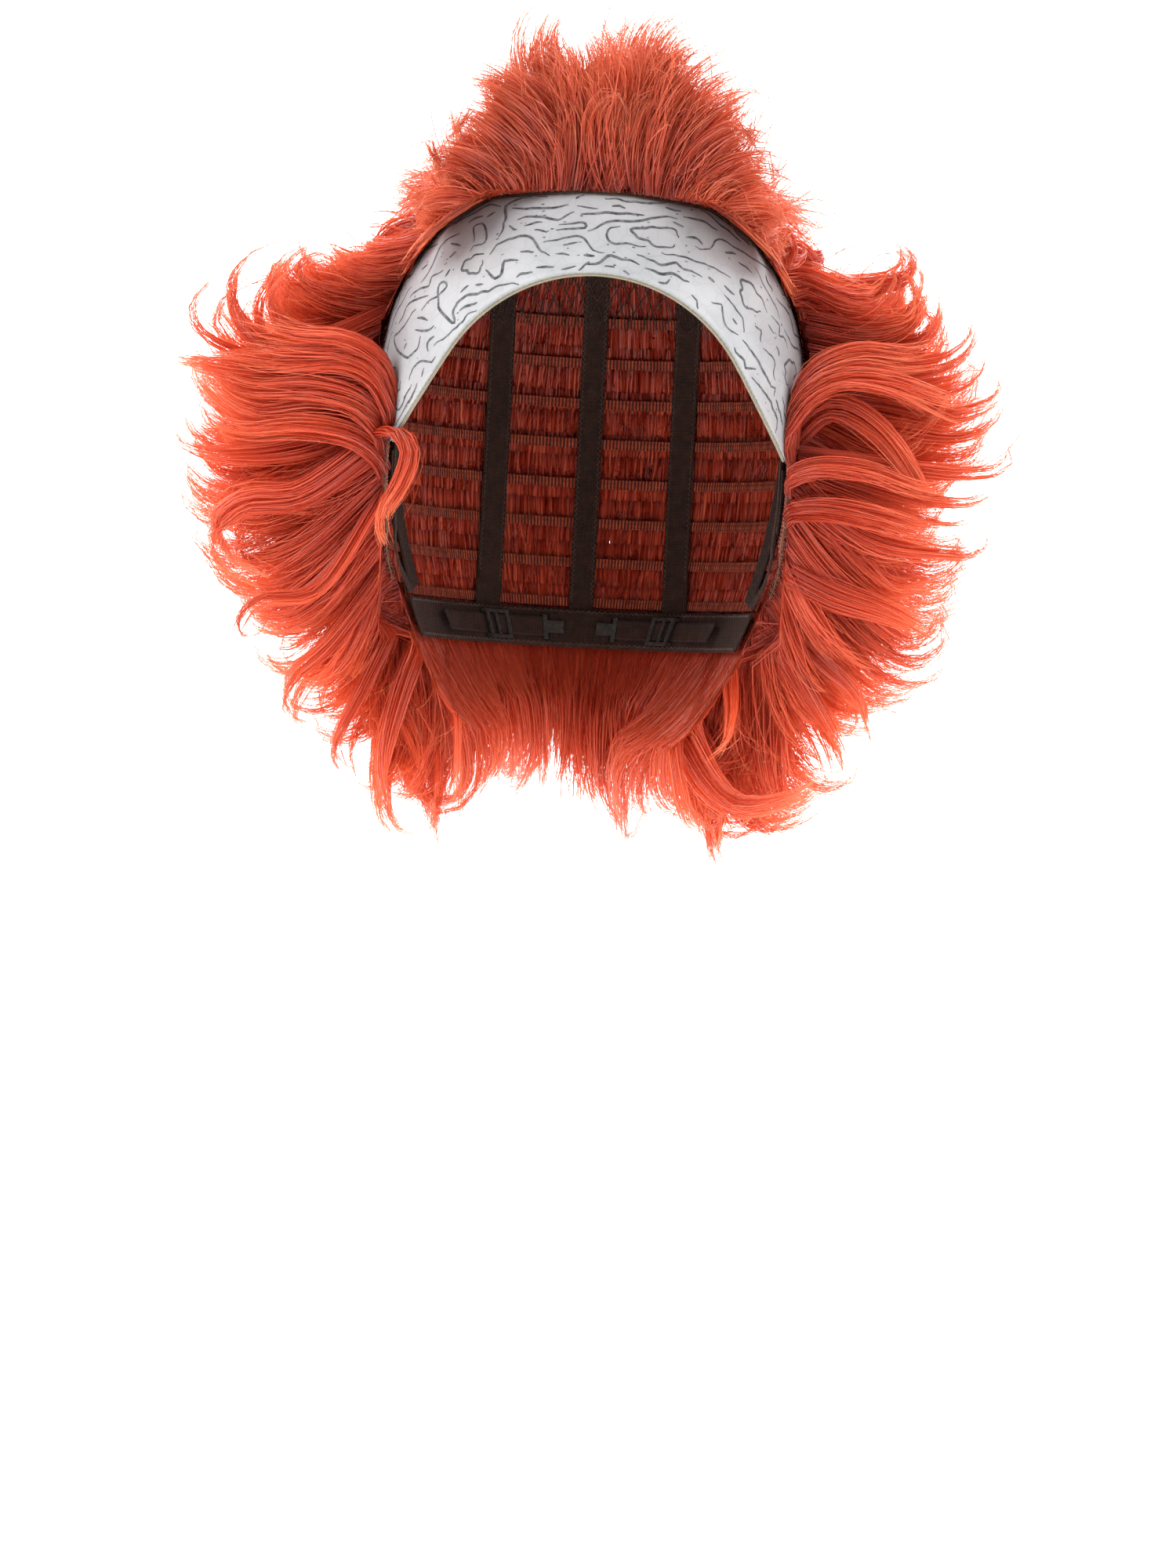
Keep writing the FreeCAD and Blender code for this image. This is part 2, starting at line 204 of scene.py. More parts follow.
def tube(path, radius, hint, sides=6, flat=1.0):
    """Vertices and quads of a round or flattened tube along a path, with closed ends pinched shut."""
    path = np.asarray(path, float)
    _, first, second = frames_along(path, np.asarray(hint, float))
    turn = np.linspace(0, 2 * math.pi, sides, endpoint=False)
    radius = np.broadcast_to(np.asarray(radius, float), (len(path),)).copy()
    radius[[0, -1]] *= 0.05
    ring = np.cos(turn)[:, None] * first[:, None] + flat * np.sin(turn)[:, None] * second[:, None]
    vertices = path[:, None] + ring * radius[:, None, None]
    return vertices.reshape(-1, 3), grid_quads(len(path), sides, around=True)


def distance_along(path):
    """How far along a path each of its points is."""
    return np.concatenate([[0], np.cumsum(np.linalg.norm(np.diff(path, axis=0), axis=1))])


def evenly(path, count):
    """A path sampled at even steps of its length."""
    steps = distance_along(path)
    at = np.linspace(0, steps[-1], count)
    return np.stack([np.interp(at, steps, path[:, axis]) for axis in range(3)], -1)


def joined(parts):
    """Several sets of vertices and quads as one."""
    vertices, quads, start = [], [], 0
    for v, q in parts:
        vertices.append(v)
        quads.append(q + start)
        start += len(v)
    return np.concatenate(vertices), np.concatenate(quads)


def slab(inner, outer, rows, columns):
    """A closed plate between two grids of points: both faces and the four edges."""
    points = np.concatenate([inner.reshape(-1, 3), outer.reshape(-1, 3)])
    count = rows * columns
    face = grid_quads(rows, columns)
    grid = np.arange(count).reshape(rows, columns)
    rim = np.concatenate([grid[0], grid[1:, -1], grid[-1, -2::-1], grid[-2:0:-1, 0]])
    after = np.roll(rim, -1)
    edge = np.stack([rim, after, after + count, rim + count], -1)
    return points, np.concatenate([face[:, ::-1], face + count, edge])


# ---------------------------------------------------------------- materials
WAVE_PERIOD = 2 * math.pi / 20


class Shade:
    """A node material with a Principled shader, and short ways to add procedural detail to it."""

    def __init__(self, name, colour, roughness, specular=0.5, **sockets):
        self.material = bpy.data.materials.new(name)
        self.material.use_nodes = True
        self.nodes = self.material.node_tree.nodes
        self.links = self.material.node_tree.links
        self.shader = self.nodes["Principled BSDF"]
        self.set("Base Color", (*colour, 1))
        self.set("Roughness", roughness)
        self.set("Specular IOR Level", specular)
        for socket, number in sockets.items():
            self.set(socket.replace("_", " "), number)

    def set(self, socket, number):
        self.shader.inputs[socket].default_value = number

    def add(self, kind, **settings):
        node = self.nodes.new("ShaderNode" + kind)
        for key, number in settings.items():
            setattr(node, key, number)
        return node

    def link(self, source, target):
        self.links.new(source, target)

    def place(self, space="Object", scale=(1, 1, 1)):
        """Coordinates in the object's own space or one of its UV maps, scaled."""
        if space == "UV":
            source = self.add("UVMap", uv_map="OFBake").outputs["UV"]
        else:
            source = self.add("TexCoord").outputs[space]
        mapping = self.add("Mapping")
        mapping.inputs["Scale"].default_value = scale
        self.link(source, mapping.inputs["Vector"])
        return mapping.outputs["Vector"]

    def texture(self, node, place, output="Fac", **numbers):
        for name, number in numbers.items():
            node.inputs[name].default_value = number
        self.link(place, node.inputs["Vector"])
        return node.outputs[output]

    def noise(self, place, scale, detail=3.0, roughness=0.55):
        return self.texture(self.add("TexNoise"), place, Scale=scale, Detail=detail, Roughness=roughness)

    def wave(self, place, scale, distortion, direction):
        node = self.add("TexWave", bands_direction=direction)
        return self.texture(node, place, Scale=scale, Distortion=distortion)

    def math(self, operation, first, second):
        node = self.add("Math", operation=operation)
        for socket, source in zip(node.inputs, (first, second)):
            if isinstance(source, (int, float)):
                socket.default_value = source
            else:
                self.link(source, socket)
        return node.outputs[0]

    def ramp(self, factor, stops):
        node = self.add("ValToRGB")
        ramp = node.color_ramp
        while len(ramp.elements) < len(stops):
            ramp.elements.new(0.5)
        for element, (at, colour) in zip(ramp.elements, stops):
            element.position = at
            element.color = (*colour, 1)
        self.link(factor, node.inputs["Fac"])
        return node.outputs["Color"]

    def mix(self, factor, first, second, blend="MIX"):
        node = self.add("Mix", data_type="RGBA", blend_type=blend)
        for socket, source in zip((node.inputs[0], node.inputs[6], node.inputs[7]), (factor, first, second)):
            if isinstance(source, (int, float)):
                socket.default_value = source
            elif isinstance(source, tuple):
                socket.default_value = (*source, 1)
            else:
                self.link(source, socket)
        return node.outputs[2]

    def colour(self, source):
        self.link(source, self.shader.inputs["Base Color"])

    def roughness(self, source, low, high):
        node = self.add("MapRange")
        node.inputs["To Min"].default_value = low
        node.inputs["To Max"].default_value = high
        self.link(source, node.inputs["Value"])
        self.link(node.outputs["Result"], self.shader.inputs["Roughness"])

    def bump(self, height, strength, distance):
        node = self.add("Bump")
        node.inputs["Strength"].default_value = strength
        node.inputs["Distance"].default_value = distance
        self.link(height, node.inputs["Height"])
        self.link(node.outputs["Normal"], self.shader.inputs["Normal"])


# The fibre's colour from root to tip, as shares of its length. The dark root end is painted shade,
# where the strands crowd over the cap.
FIBRE_REDS_AND_ROOT_SHADE = ((0.0, (0.26, 0.020, 0.010)), (0.14, (0.60, 0.066, 0.028)), (0.7, (0.78, 0.112, 0.046)),
              (1.0, (0.94, 0.225, 0.098)))


def fibre_material(name, tone):
    """Glossy red-orange synthetic fibre, paler and warmer to the tip, in streaks; its darker root is painted
    shade.
    """
    shade = Shade(name, (0.62, 0.08, 0.03), 0.36, 0.75)
    columns = shade.place("UV", (90, 1.2, 1))
    streak = shade.noise(columns, 1.0, 2.0, 0.6)
    lock = shade.noise(shade.place("UV", (9, 0.7, 1)), 1.0, 1.0)
    along = shade.add("SeparateXYZ")
    shade.link(shade.place("UV"), along.inputs["Vector"])
    # A tone below 1 darkens the whole fibre as painted shade.
    reds_and_root_shade = [(at, tuple(part * tone for part in red)) for at, red in FIBRE_REDS_AND_ROOT_SHADE]
    # Darker towards the root: painted shade where the strands crowd over the cap.
    body = shade.ramp(along.outputs["Y"], reds_and_root_shade)
    dark = shade.ramp(streak, [(0.26, (0.40, 0.27, 0.24)), (0.50, (0.93, 0.90, 0.88)),
                               (0.72, (1.2, 1.6, 1.7))])
    shaded = shade.mix(1.0, body, dark, "MULTIPLY")
    warm = shade.ramp(lock, [(0.35, (0.80, 0.66, 0.62)), (0.65, (1.15, 1.35, 1.30))])
    shade.colour(shade.mix(1.0, shaded, warm, "MULTIPLY"))
    shade.roughness(streak, 0.28, 0.42)
    glow = shade.add("BsdfTranslucent")
    glow.inputs["Color"].default_value = (0.95 * tone, 0.16 * tone, 0.055 * tone, 1)
    blend = shade.add("MixShader")
    blend.inputs[0].default_value = 0.33
    shade.link(shade.shader.outputs[0], blend.inputs[1])
    shade.link(glow.outputs[0], blend.inputs[2])
    shade.link(blend.outputs[0], shade.nodes["Material Output"].inputs["Surface"])
    return shade.material


def vinyl_material():
    """Satin white-grey vinyl with faint mottling and hair-fine cracks under its print."""
    shade = Shade("band_vinyl", (0.62, 0.64, 0.67), 0.42, 0.4, Coat_Weight=0.08, Coat_Roughness=0.35)
    spot = shade.place("Object")
    cloud = shade.noise(spot, 45, 4.0)
    grain = shade.noise(spot, 900, 2.0)
    base = shade.ramp(cloud, [(0.3, (0.33, 0.338, 0.35)), (0.7, (0.415, 0.42, 0.43))])
    cracks = shade.texture(shade.add("TexVoronoi", feature="DISTANCE_TO_EDGE"), spot, "Distance", Scale=150)
    fine = shade.ramp(cracks, [(0.0, (0.83, 0.84, 0.86)), (0.05, (1.0, 1.0, 1.0))])
    shade.colour(shade.mix(0.6, base, fine, "MULTIPLY"))
    shade.roughness(cloud, 0.36, 0.5)
    shade.bump(grain, 0.12, 0.0003)
    return shade.material


def ink_material():
    """Dry dark grey ink, thin in places."""
    shade = Shade("crackle_ink", (0.05, 0.05, 0.055), 0.7, 0.2)
    wear = shade.noise(shade.place("Object"), 420, 3.0)
    shade.colour(shade.ramp(wear, [(0.35, (0.05, 0.052, 0.056)), (0.75, (0.19, 0.195, 0.205))]))
    return shade.material


def cloth_material(name, low, high, thread, sheen=0.2):
    """Woven or knitted cloth of one thread size, in mm, between two colours."""
    shade = Shade(name, low, 0.85, 0.2, Sheen_Weight=sheen)
    spot = shade.place("Object")
    waves = WAVE_PERIOD / (thread * MM)
    warp = shade.wave(spot, waves, 0.8, "X")
    weft = shade.wave(spot, waves, 0.8, "Z")
    weave = shade.math("MULTIPLY", warp, weft)
    fuzz = shade.noise(spot, 0.2 / (thread * MM), 3.0)
    factor = shade.math("ADD", shade.math("MULTIPLY", weave, 0.6), shade.math("MULTIPLY", fuzz, 0.5))
    shade.colour(shade.ramp(factor, [(0.15, low), (0.85, high)]))
    shade.bump(weave, 0.5, 0.0003)
    return shade.material


def weft_material(name, across):
    """The stitched heads of a hair weft: a rib for each fold of fibre, along one direction, with painted
    shade in the grooves between the folds.
    """
    shade = Shade(name, (0.25, 0.04, 0.02), 0.62, 0.35)
    place = shade.add("SeparateXYZ")
    shade.link(shade.place("Object"), place.inputs["Vector"])
    turn = shade.math("ARCTAN2", place.outputs["X"], place.outputs[across])
    ribs = shade.math("SINE", shade.math("MULTIPLY", turn, 420.0), 0.0)
    rib = shade.math("MULTIPLY", shade.math("ADD", ribs, 1.0), 0.5)
    tone = shade.noise(shade.place("Object"), 260, 3.0)
    factor = shade.math("MULTIPLY", rib, tone)
    # The darkest stop paints shade into the grooves between the folds.
    shade.colour(shade.ramp(factor, [(0.05, (0.07, 0.012, 0.008)), (0.3, (0.34, 0.05, 0.022)),
                                     (0.7, (0.55, 0.12, 0.05))]))
    shade.bump(rib, 0.8, 0.0006)
    return shade.material


def plastic_material():
    """Black moulded nylon with a faint mould grain."""
    shade = Shade("clip_nylon", (0.018, 0.016, 0.015), 0.36, 0.5)
    grain = shade.noise(shade.place("Object"), 700, 3.0)
    shade.colour(shade.ramp(grain, [(0.3, (0.02, 0.019, 0.018)), (0.7, (0.06, 0.056, 0.052))]))
    shade.roughness(grain, 0.28, 0.45)
    shade.bump(grain, 0.15, 0.0001)
    return shade.material


FIBRE = fibre_material("red_fibre", 1.0)
# The crest's fibre is the same fibre darkened by a tone of 0.8: painted shade against the stronger light on
# top.
SHADED_CREST_FIBRE = fibre_material("crest_fibre_painted_shade", 0.8)
BAND_VINYL = vinyl_material()
INK = ink_material()
LINING_CLOTH = cloth_material("lining_knit", (0.30, 0.26, 0.17), (0.46, 0.41, 0.29), 0.7)
EDGE_CLOTH = cloth_material("edge_binding", (0.20, 0.175, 0.12), (0.36, 0.32, 0.24), 0.5)
RIBBON_CLOTH = cloth_material("cap_ribbon", (0.014, 0.007, 0.005), (0.075, 0.036, 0.026), 0.9, 0.04)
NET_THREAD = cloth_material("cap_net_thread", (0.03, 0.012, 0.01), (0.10, 0.04, 0.03), 0.4)
ROW_HEADS = weft_material("weft_heads_level", "Y")
CROWN_HEADS = weft_material("weft_heads_crown", "Z")
NYLON = plastic_material()
STITCH_THREAD = cloth_material("stitch_thread", (0.10, 0.05, 0.035), (0.26, 0.14, 0.10), 0.3)
WEFT_THREAD = cloth_material("weft_thread", (0.10, 0.03, 0.018), (0.34, 0.15, 0.09), 0.5)


def dress(node, material):
    """Gives a carried-over CAD node a material."""
    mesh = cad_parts[node].data
    mesh.materials.clear()
    mesh.materials.append(material)


# ---------------------------------------------------------------- forehead band
def upper_edge(count):
    """The band's upper edge from tip to tip, as points on the head form."""
    arc = np.linspace(-1, 1, count)
    reach = math.sqrt(HAIRLINE_RADIUS ** 2 - (BAND_END_Z - HAIRLINE_CENTRE[1]) ** 2)
    x = (HAIRLINE_CENTRE[0] + reach) * arc
    inside = np.maximum(np.abs(x) - HAIRLINE_CENTRE[0], 0)
    round_z = HAIRLINE_CENTRE[1] + np.sqrt(np.maximum(HAIRLINE_RADIUS ** 2 - inside ** 2, 0))
    top = form_at(x, 0, np.minimum(round_z, hairline_z(x)), VINYL, 1) * (1, -1, 1)
    down = np.linspace(0, 1, count // 5)[1:, None]
    ends = []
    for side, _ in SIDES:
        end = np.array([side * 84.0, 0.0, BAND_END_Z])
        tip = BAND_TIP * np.array([side, 1, 1])
        ends.append(on_head(end + (tip - end) * down, VINYL))
    return np.concatenate([ends[0][::-1], top, ends[1]])


def lower_edge(count):
    """The band's lower edge from tip to tip."""
    turn = math.atan2(BROW_TURN[0], BROW_TURN[1] - BROW_CENTRE_Z)
    angles = np.linspace(-turn, turn, count)
    x = BROW_RADIUS * np.sin(angles)
    z = BROW_CENTRE_Z + BROW_RADIUS * np.cos(angles)
    down = np.linspace(0, 1, count // 3)[1:, None]
    drop = np.array([BROW_TURN]) + (np.array([[BAND_TIP[0], BAND_TIP[2]]]) - np.array([BROW_TURN])) * down
    x = np.concatenate([-drop[::-1, 0], x, drop[:, 0]])
    z = np.concatenate([drop[::-1, 1], z, drop[:, 1]])
    return form_at(x, 0, z, VINYL, 1) * (1, -1, 1)


BAND_COLUMNS = 160
BAND_ROWS = 36
BAND_WIDTH = 33.0
VINYL_FACE = VINYL - 0.15
VINYL_BACK = VINYL - 1.2
TOP_EDGE = evenly(upper_edge(400), BAND_COLUMNS)
LOW_EDGE = evenly(lower_edge(400), BAND_COLUMNS)
BAND_LENGTH = np.linalg.norm(np.diff((TOP_EDGE + LOW_EDGE) / 2, axis=0), axis=1).sum()


def band_point(along, across, offset):
    """A point of the band's surface: along from tip to tip, and across from the lower edge to the upper."""
    column = np.clip(np.asarray(along) * (BAND_COLUMNS - 1), 0, BAND_COLUMNS - 1.001)
    whole = column.astype(int)
    part = (column - whole)[..., None]
    low = LOW_EDGE[whole] * (1 - part) + LOW_EDGE[whole + 1] * part
    top = TOP_EDGE[whole] * (1 - part) + TOP_EDGE[whole + 1] * part
    across = np.asarray(across)[..., None]
    return on_head(low * (1 - across) + top * across, offset)


def wrinkle(along, across):
    """How far the vinyl stands off the head: slow waves, a rolled lower edge and a tucked upper one."""
    slow = 0.22 * np.sin(along * 31 + 2.0 * np.sin(along * 9)) * np.sin(across * math.pi)
    roll = 0.35 * np.exp(-((across - 0.045) / 0.035) ** 2)
    tuck = -0.5 * np.exp(-((1 - across) / 0.05) ** 2)
    return slow + roll + tuck


def make_band():
    across, along = np.meshgrid(np.linspace(0, 1, BAND_ROWS), np.linspace(0, 1, BAND_COLUMNS * 2),
                                indexing="ij")
    outer = band_point(along, across, VINYL_FACE) + wrinkle(along, across)[..., None] * head_normal(
        band_point(along, across, VINYL))
    inner = band_point(along, across, VINYL_BACK)
    points, quads = slab(inner, outer, *along.shape)
    add_mesh("forehead_band_vinyl", points, quads, material=BAND_VINYL, slot="band_vinyl",
             nodes=["forehead_band"])


def ink_line(along, across, width):
    """A printed line as a thin ribbon on the band, tapered at both ends."""
    lift = wrinkle(along, across)[:, None]
    path = band_point(along, across, VINYL_FACE)
    normal = head_normal(path)
    path = path + normal * (lift + 0.05)
    side = unit(np.cross(normal, np.gradient(path, axis=0)))
    t = np.linspace(0, 1, len(path))
    half = width * (0.25 + 0.75 * np.sin(math.pi * np.clip(t, 0.02, 0.98)) ** 0.5) / 2
    ribbon = np.stack([path - side * half[:, None], path + side * half[:, None]], 1)
    return ribbon.reshape(-1, 3), grid_quads(len(path), 2)


# The print's closed loops, as (place along the band, half length, half height), and the step of its lines.
PRINT_LOOPS = ((0.57, 8.0, 3.6), (0.72, 7.0, 3.2), (0.33, 4.5, 2.6), (0.84, 4.0, 3.0))
PRINT_STEP = 1.1


def make_crackle():
    """The print: broken wandering lines along the band, a few closed loops, and specks."""
    rng = np.random.default_rng(5)
    taken = []
    parts = []

    def clear(point, room):
        if not taken:
            return True
        gap = np.array(taken) - point
        return np.hypot(gap[:, 0], gap[:, 1]).min() > room

    def draw(walk, width):
        walk = np.array(walk)
        parts.append(ink_line(walk[:, 0] / BAND_LENGTH, walk[:, 1] / BAND_WIDTH, width))
        return walk

    for centre, reach, tall in PRINT_LOOPS:
        turn = np.linspace(0.3, 2 * math.pi - rng.uniform(0, 0.6), 40)
        wobble = 1 + 0.16 * np.sin(3 * turn + rng.uniform(0, 6)) + 0.08 * np.sin(7 * turn)
        middle = np.array([centre * BAND_LENGTH, rng.uniform(13, 21)])
        loop = middle + np.stack([reach * np.cos(turn) * wobble, tall * np.sin(turn) * wobble], -1)
        taken.extend(draw(loop, 1.25)[::2])
    for attempt in range(1500):
        start = np.array([rng.uniform(0.02, 0.98) * BAND_LENGTH, rng.uniform(1.5, BAND_WIDTH - 1.0)])
        if not clear(start, 2.5):
            continue
        crossing = rng.random() < 0.1
        heading = rng.choice([0.0, math.pi]) + rng.normal(0, 0.15)
        if crossing:
            heading += rng.choice([1, -1])
        length = rng.uniform(4, 11) if crossing else rng.gamma(3.0, 13.0) + 8
        drift = rng.normal(0, 0.02)
        walk = [start]
        turn = 0.0
        for _ in range(int(length / PRINT_STEP)):
            turn = 0.5 * turn + rng.normal(0, 0.12)
            if rng.random() < 0.06:
                turn += rng.choice([-1, 1]) * 0.7
            heading += turn + drift - 0.4 * math.sin(heading) * math.cos(heading)
            here = walk[-1] + PRINT_STEP * np.array([math.cos(heading), math.sin(heading)])
            inside = 0.9 < here[1] < BAND_WIDTH - 0.6 and 0.02 < here[0] / BAND_LENGTH < 0.93
            if not inside or not clear(here, 1.9):
                break
            walk.append(here)
        if len(walk) > (14 if attempt < 500 else 3):
            taken.extend(draw(walk, rng.uniform(0.85, 1.4))[::2])
    for _ in range(150):
        spot = np.array([rng.uniform(0.02, 0.98) * BAND_LENGTH, rng.uniform(1.5, BAND_WIDTH - 1.5)])
        reach = rng.uniform(0.25, 0.7)
        dab = [spot + np.array([reach * k, 0.15 * reach * k * k]) for k in (-1, -0.5, 0, 0.5, 1)]
        draw(dab, rng.uniform(0.35, 0.7))
    add_mesh("crackle_print", *joined(parts), material=INK, slot="band_vinyl")


def make_binding():
    """The tan edge: a rolled knit along the lower edge, with a stitch line on it."""
    edge = evenly(lower_edge(400), 320)
    normal = head_normal(edge)
    down = unit(np.cross(np.gradient(edge, axis=0), normal))
    down = np.where((down[:, 2:] > 0) & (np.abs(edge[:, :1]) < 50), -down, down)
    if down[160, 2] > 0:
        down = -down
    roll = tube(edge + down * 0.45 - normal * 0.75, 0.6, normal, sides=10, flat=0.85)
    stitches = []
    for start in range(4, 312, 3):
        span = edge[start:start + 3] + normal[start:start + 3] * 0.25 + down[start:start + 3] * 0.15
        stitches.append(tube(evenly(span, 5), 0.16, normal[start], sides=5))
    add_mesh("band_edge_roll", *roll, material=EDGE_CLOTH, slot="tan_lining", nodes=["band_edge_binding"])
    add_mesh("band_edge_stitches", *joined(stitches), material=LINING_CLOTH, slot="tan_lining")


# ---------------------------------------------------------------- cap
NET_LOW_Z = 34.0
NET_PITCH = 3.6
RIBBON_X = 38.0
RIBBON_WIDTH = 10.0
RIBBON_IN = 0.85
RIBBON_OUT = 1.6
TAPE_OUT = 0.8
EDGE_TAPE = (-0.8, -0.05)
STRAP_AXIS_Y = 21.1
STRAP_LEVEL = -88.0
STRAP_RADIUS = 56.7
STRAP_LEAN = 0.466
STRAP_HALF = 4.0
STRAP_TURNS = (16.2, 72.0)
RETURN_TURNS = (16.2, 37.0)
STRAP_DEPTH = 0.95
RETURN_DEPTH = 2.1
NAPE_TAPE_TOP = -80.0
NAPE_TAPE_Z = -88.0
NAPE_TAPE_HALF = 8.0
SIDE_RIBBON_Y = 30.0
SIDE_RIBBON_TOP = 44.0
EAR_TAB_Z = (-26.0, -50.0)
EAR_TAB_BACK = -12.0
RIB_PITCH = 2.0
FOLD_PITCH = 1.7
BACK_WEFTS = 9
BACK_WEFT_Z = 55.0
BACK_WEFT_PITCH = 16.5
CROWN_WEFTS = 6
CROWN_WEFT_Y = -52.0
CROWN_WEFT_PITCH = 20.0
CROWN_WEFT_LOW = 66.0
WEFT_SETBACK = 6.0
WEFT_IN = 1.8
WEFT_OUT = 2.8
STITCH_REACH = 0.5
STITCH_PERIOD = 2.2


def make_net():
    """The crown's net: two families of threads that cross as diamonds."""
    parts = []
    along = np.linspace(-130, 130, 261)
    for lean in (-1, 1):
        for k in np.arange(-38, 39) * NET_PITCH:
            line = form_at((along + k) * math.sqrt(0.5), lean * (along - k) * math.sqrt(0.5), 0, NET, 2)
            x, y, z = line.T
            over_band = (y < 0) & (np.abs(x) < hairline_x(z) + 1) & (z < HAIRLINE_TOP + 1)
            kept = (z > NET_LOW_Z) & ~over_band
            for run in np.split(np.arange(len(kept)), np.nonzero(np.diff(kept))[0] + 1):
                if kept[run[0]] and len(run) > 4:
                    path = line[run][::2]
                    parts.append(tube(path, 0.24, head_normal(path), sides=4))
    add_mesh("crown_net_threads", *joined(parts), material=NET_THREAD, slot="cap_net", nodes=["crown_net"])


def hoop(x, turn, offset):
    """An arch over the head form in the upright plane at x, through turns from the back upwards."""
    half = semi(offset, np.sin(turn))
    room = math.sqrt(1 - (x / half[0, 0]) ** 2)
    return np.stack([x + 0 * turn, half[:, 1] * room * np.cos(turn), half[:, 2] * room * np.sin(turn)], -1)


def onto_form(points, offset, kept):
    """Points moved on to the head form, with one coordinate kept and the other two scaled."""
    share = (points / semi(offset, points[..., 2])) ** 2
    others = share.sum(-1) - share[..., kept]
    moved = points * np.sqrt(np.maximum(1 - share[..., kept], 1e-6) / others)[..., None]
    moved[..., kept] = points[..., kept]
    return moved


def strip(path, axis, half, inner, outer, relief, rows=9):
    """A thin closed strip on the head form, between two offsets: path is its middle line, and its width
    runs along an axis. half is half its width, or an array of that along the path. relief gives how far
    both its faces swell, from the distance along and the share across."""
    share = np.linspace(-1, 1, rows)[:, None]
    base = path[None] + np.eye(3)[axis] * (share * half)[..., None]
    swell = relief(distance_along(path)[None], share)
    return slab(onto_form(base, inner - swell, axis), onto_form(base, outer + swell, axis), *base.shape[:2])


def woven(along, across):
    """A ribbon's corded edges and the ribs across it."""
    cord = 0.12 * np.exp(-((np.abs(across) - 0.86) / 0.12) ** 2)
    return cord + 0.035 * np.sin(along * 2 * math.pi / RIB_PITCH) * (1 - across ** 2)


def sewn_fibre(along, across):
    """The folds of fibre in a weft's head, held down by two rows of stitching."""
    folds = 0.24 * np.abs(np.sin(math.pi * along / FOLD_PITCH)) * (1 - 0.5 * across ** 2)
    return folds - 0.28 * np.exp(-((np.abs(across) - 0.5) / 0.15) ** 2)


def beside(side, y, z, offset):
    """Points on one side of the head form, from how far back and how high they are."""
    return form_at(0, y, z, offset, 0) * (side, 1, 1)


def make_ribbons():
    """The cap's woven ribbons and tapes, with corded edges."""
    strips = {}
    turn = np.radians(np.linspace(-40, 128, 640))
    for x, label in ((0.0, "centre"), (-RIBBON_X, "left_crown"), (RIBBON_X, "right_crown")):
        path = hoop(x, turn, RIBBON_IN)
        behind_band = (path[:, 1] > 0) | (path[:, 2] > HAIRLINE_TOP + 1)
        above_nape = path[:, 2] > NAPE_TAPE_TOP - 5
        path = path[behind_band & above_nape]
        strips[f"{label}_ribbon"] = (path, 0, RIBBON_WIDTH / 2, RIBBON_IN, RIBBON_OUT)
    for side, label in SIDES:
        z = np.linspace(SIDE_RIBBON_TOP, NAPE_TAPE_TOP + 4, 240)
        path = beside(side, SIDE_RIBBON_Y, z, RIBBON_IN)
        strips[f"{label}_side_ribbon"] = (path, 1, RIBBON_WIDTH / 2, RIBBON_IN, RIBBON_OUT)
        z = np.linspace(BAND_END_Z, EDGE_Z[1], 220)
        path = beside(side, np.interp(z, EDGE_Z, EDGE_Y) + 4.3, z, EDGE_TAPE[0])
        strips[f"{label}_edge_tape"] = (path, 1, 4.0, *EDGE_TAPE)
        z = np.linspace(*EAR_TAB_Z, 60)
        front = np.interp(z, EDGE_Z, EDGE_Y) + 0.3
        path = beside(side, (front + EAR_TAB_BACK) / 2, z, 0.0)
        strips[f"{label}_ear_tab"] = (path, 1, (EAR_TAB_BACK - front) / 2, 0.0, TAPE_OUT)
    limit = float(front_turn(NAPE_TAPE_Z, 0))
    path = ring_point(np.linspace(-limit, limit, 460), NAPE_TAPE_Z, 0.0)
    strips["nape_tape"] = (path, 2, NAPE_TAPE_HALF, 0.0, TAPE_OUT)
    for node, measures in strips.items():
        add_mesh(node + "_weave", *strip(*measures, woven), material=RIBBON_CLOTH, slot="cap_ribbon",
                 nodes=[node])


def make_wefts():
    """The stitched heads of the wefts across the back and over the crown."""
    wefts = {}
    for number in range(1, BACK_WEFTS + 1):
        z = BACK_WEFT_Z - BACK_WEFT_PITCH * (number - 1)
        limit = float(front_turn(z, WEFT_IN)) - WEFT_SETBACK / 85.0
        wefts[f"back_weft_{number}"] = (ring_point(np.linspace(-limit, limit, 600), z, WEFT_IN), 2, ROW_HEADS)
    x = np.linspace(-72, 72, 320)
    for number in range(1, CROWN_WEFTS + 1):
        y = CROWN_WEFT_Y + CROWN_WEFT_PITCH * (number - 1)
        path = form_at(x, y, 0, WEFT_IN, 2)
        on_crown = path[:, 2] > (HAIRLINE_TOP + WEFT_SETBACK if y < 0 else CROWN_WEFT_LOW)
        wefts[f"crown_weft_{number}"] = (path[on_crown], 1, CROWN_HEADS)
    z = np.linspace(BAND_END_Z, EDGE_Z[2], 180)
    for side, label in SIDES:
        path = beside(side, np.interp(z, EDGE_Z, EDGE_Y) + 3.0, z, WEFT_IN)
        wefts[f"{label}_temple_weft"] = (path, 1, CROWN_HEADS)
    for node, (path, axis, material) in wefts.items():
        add_mesh(node + "_heads", *strip(path, axis, 2.0, WEFT_IN + 0.15, WEFT_OUT, sewn_fibre),
                 material=material, slot="weft_tape", nodes=[node])


def strap_point(turn, rise, depth):
    """A point inside the nape: degrees from the centre back to +X, and how far up and inwards."""
    radius = STRAP_RADIUS - depth + STRAP_LEAN * rise
    turn = np.radians(turn)
    return np.stack([radius * np.sin(turn), STRAP_AXIS_Y + radius * np.cos(turn), STRAP_LEVEL + rise], -1)


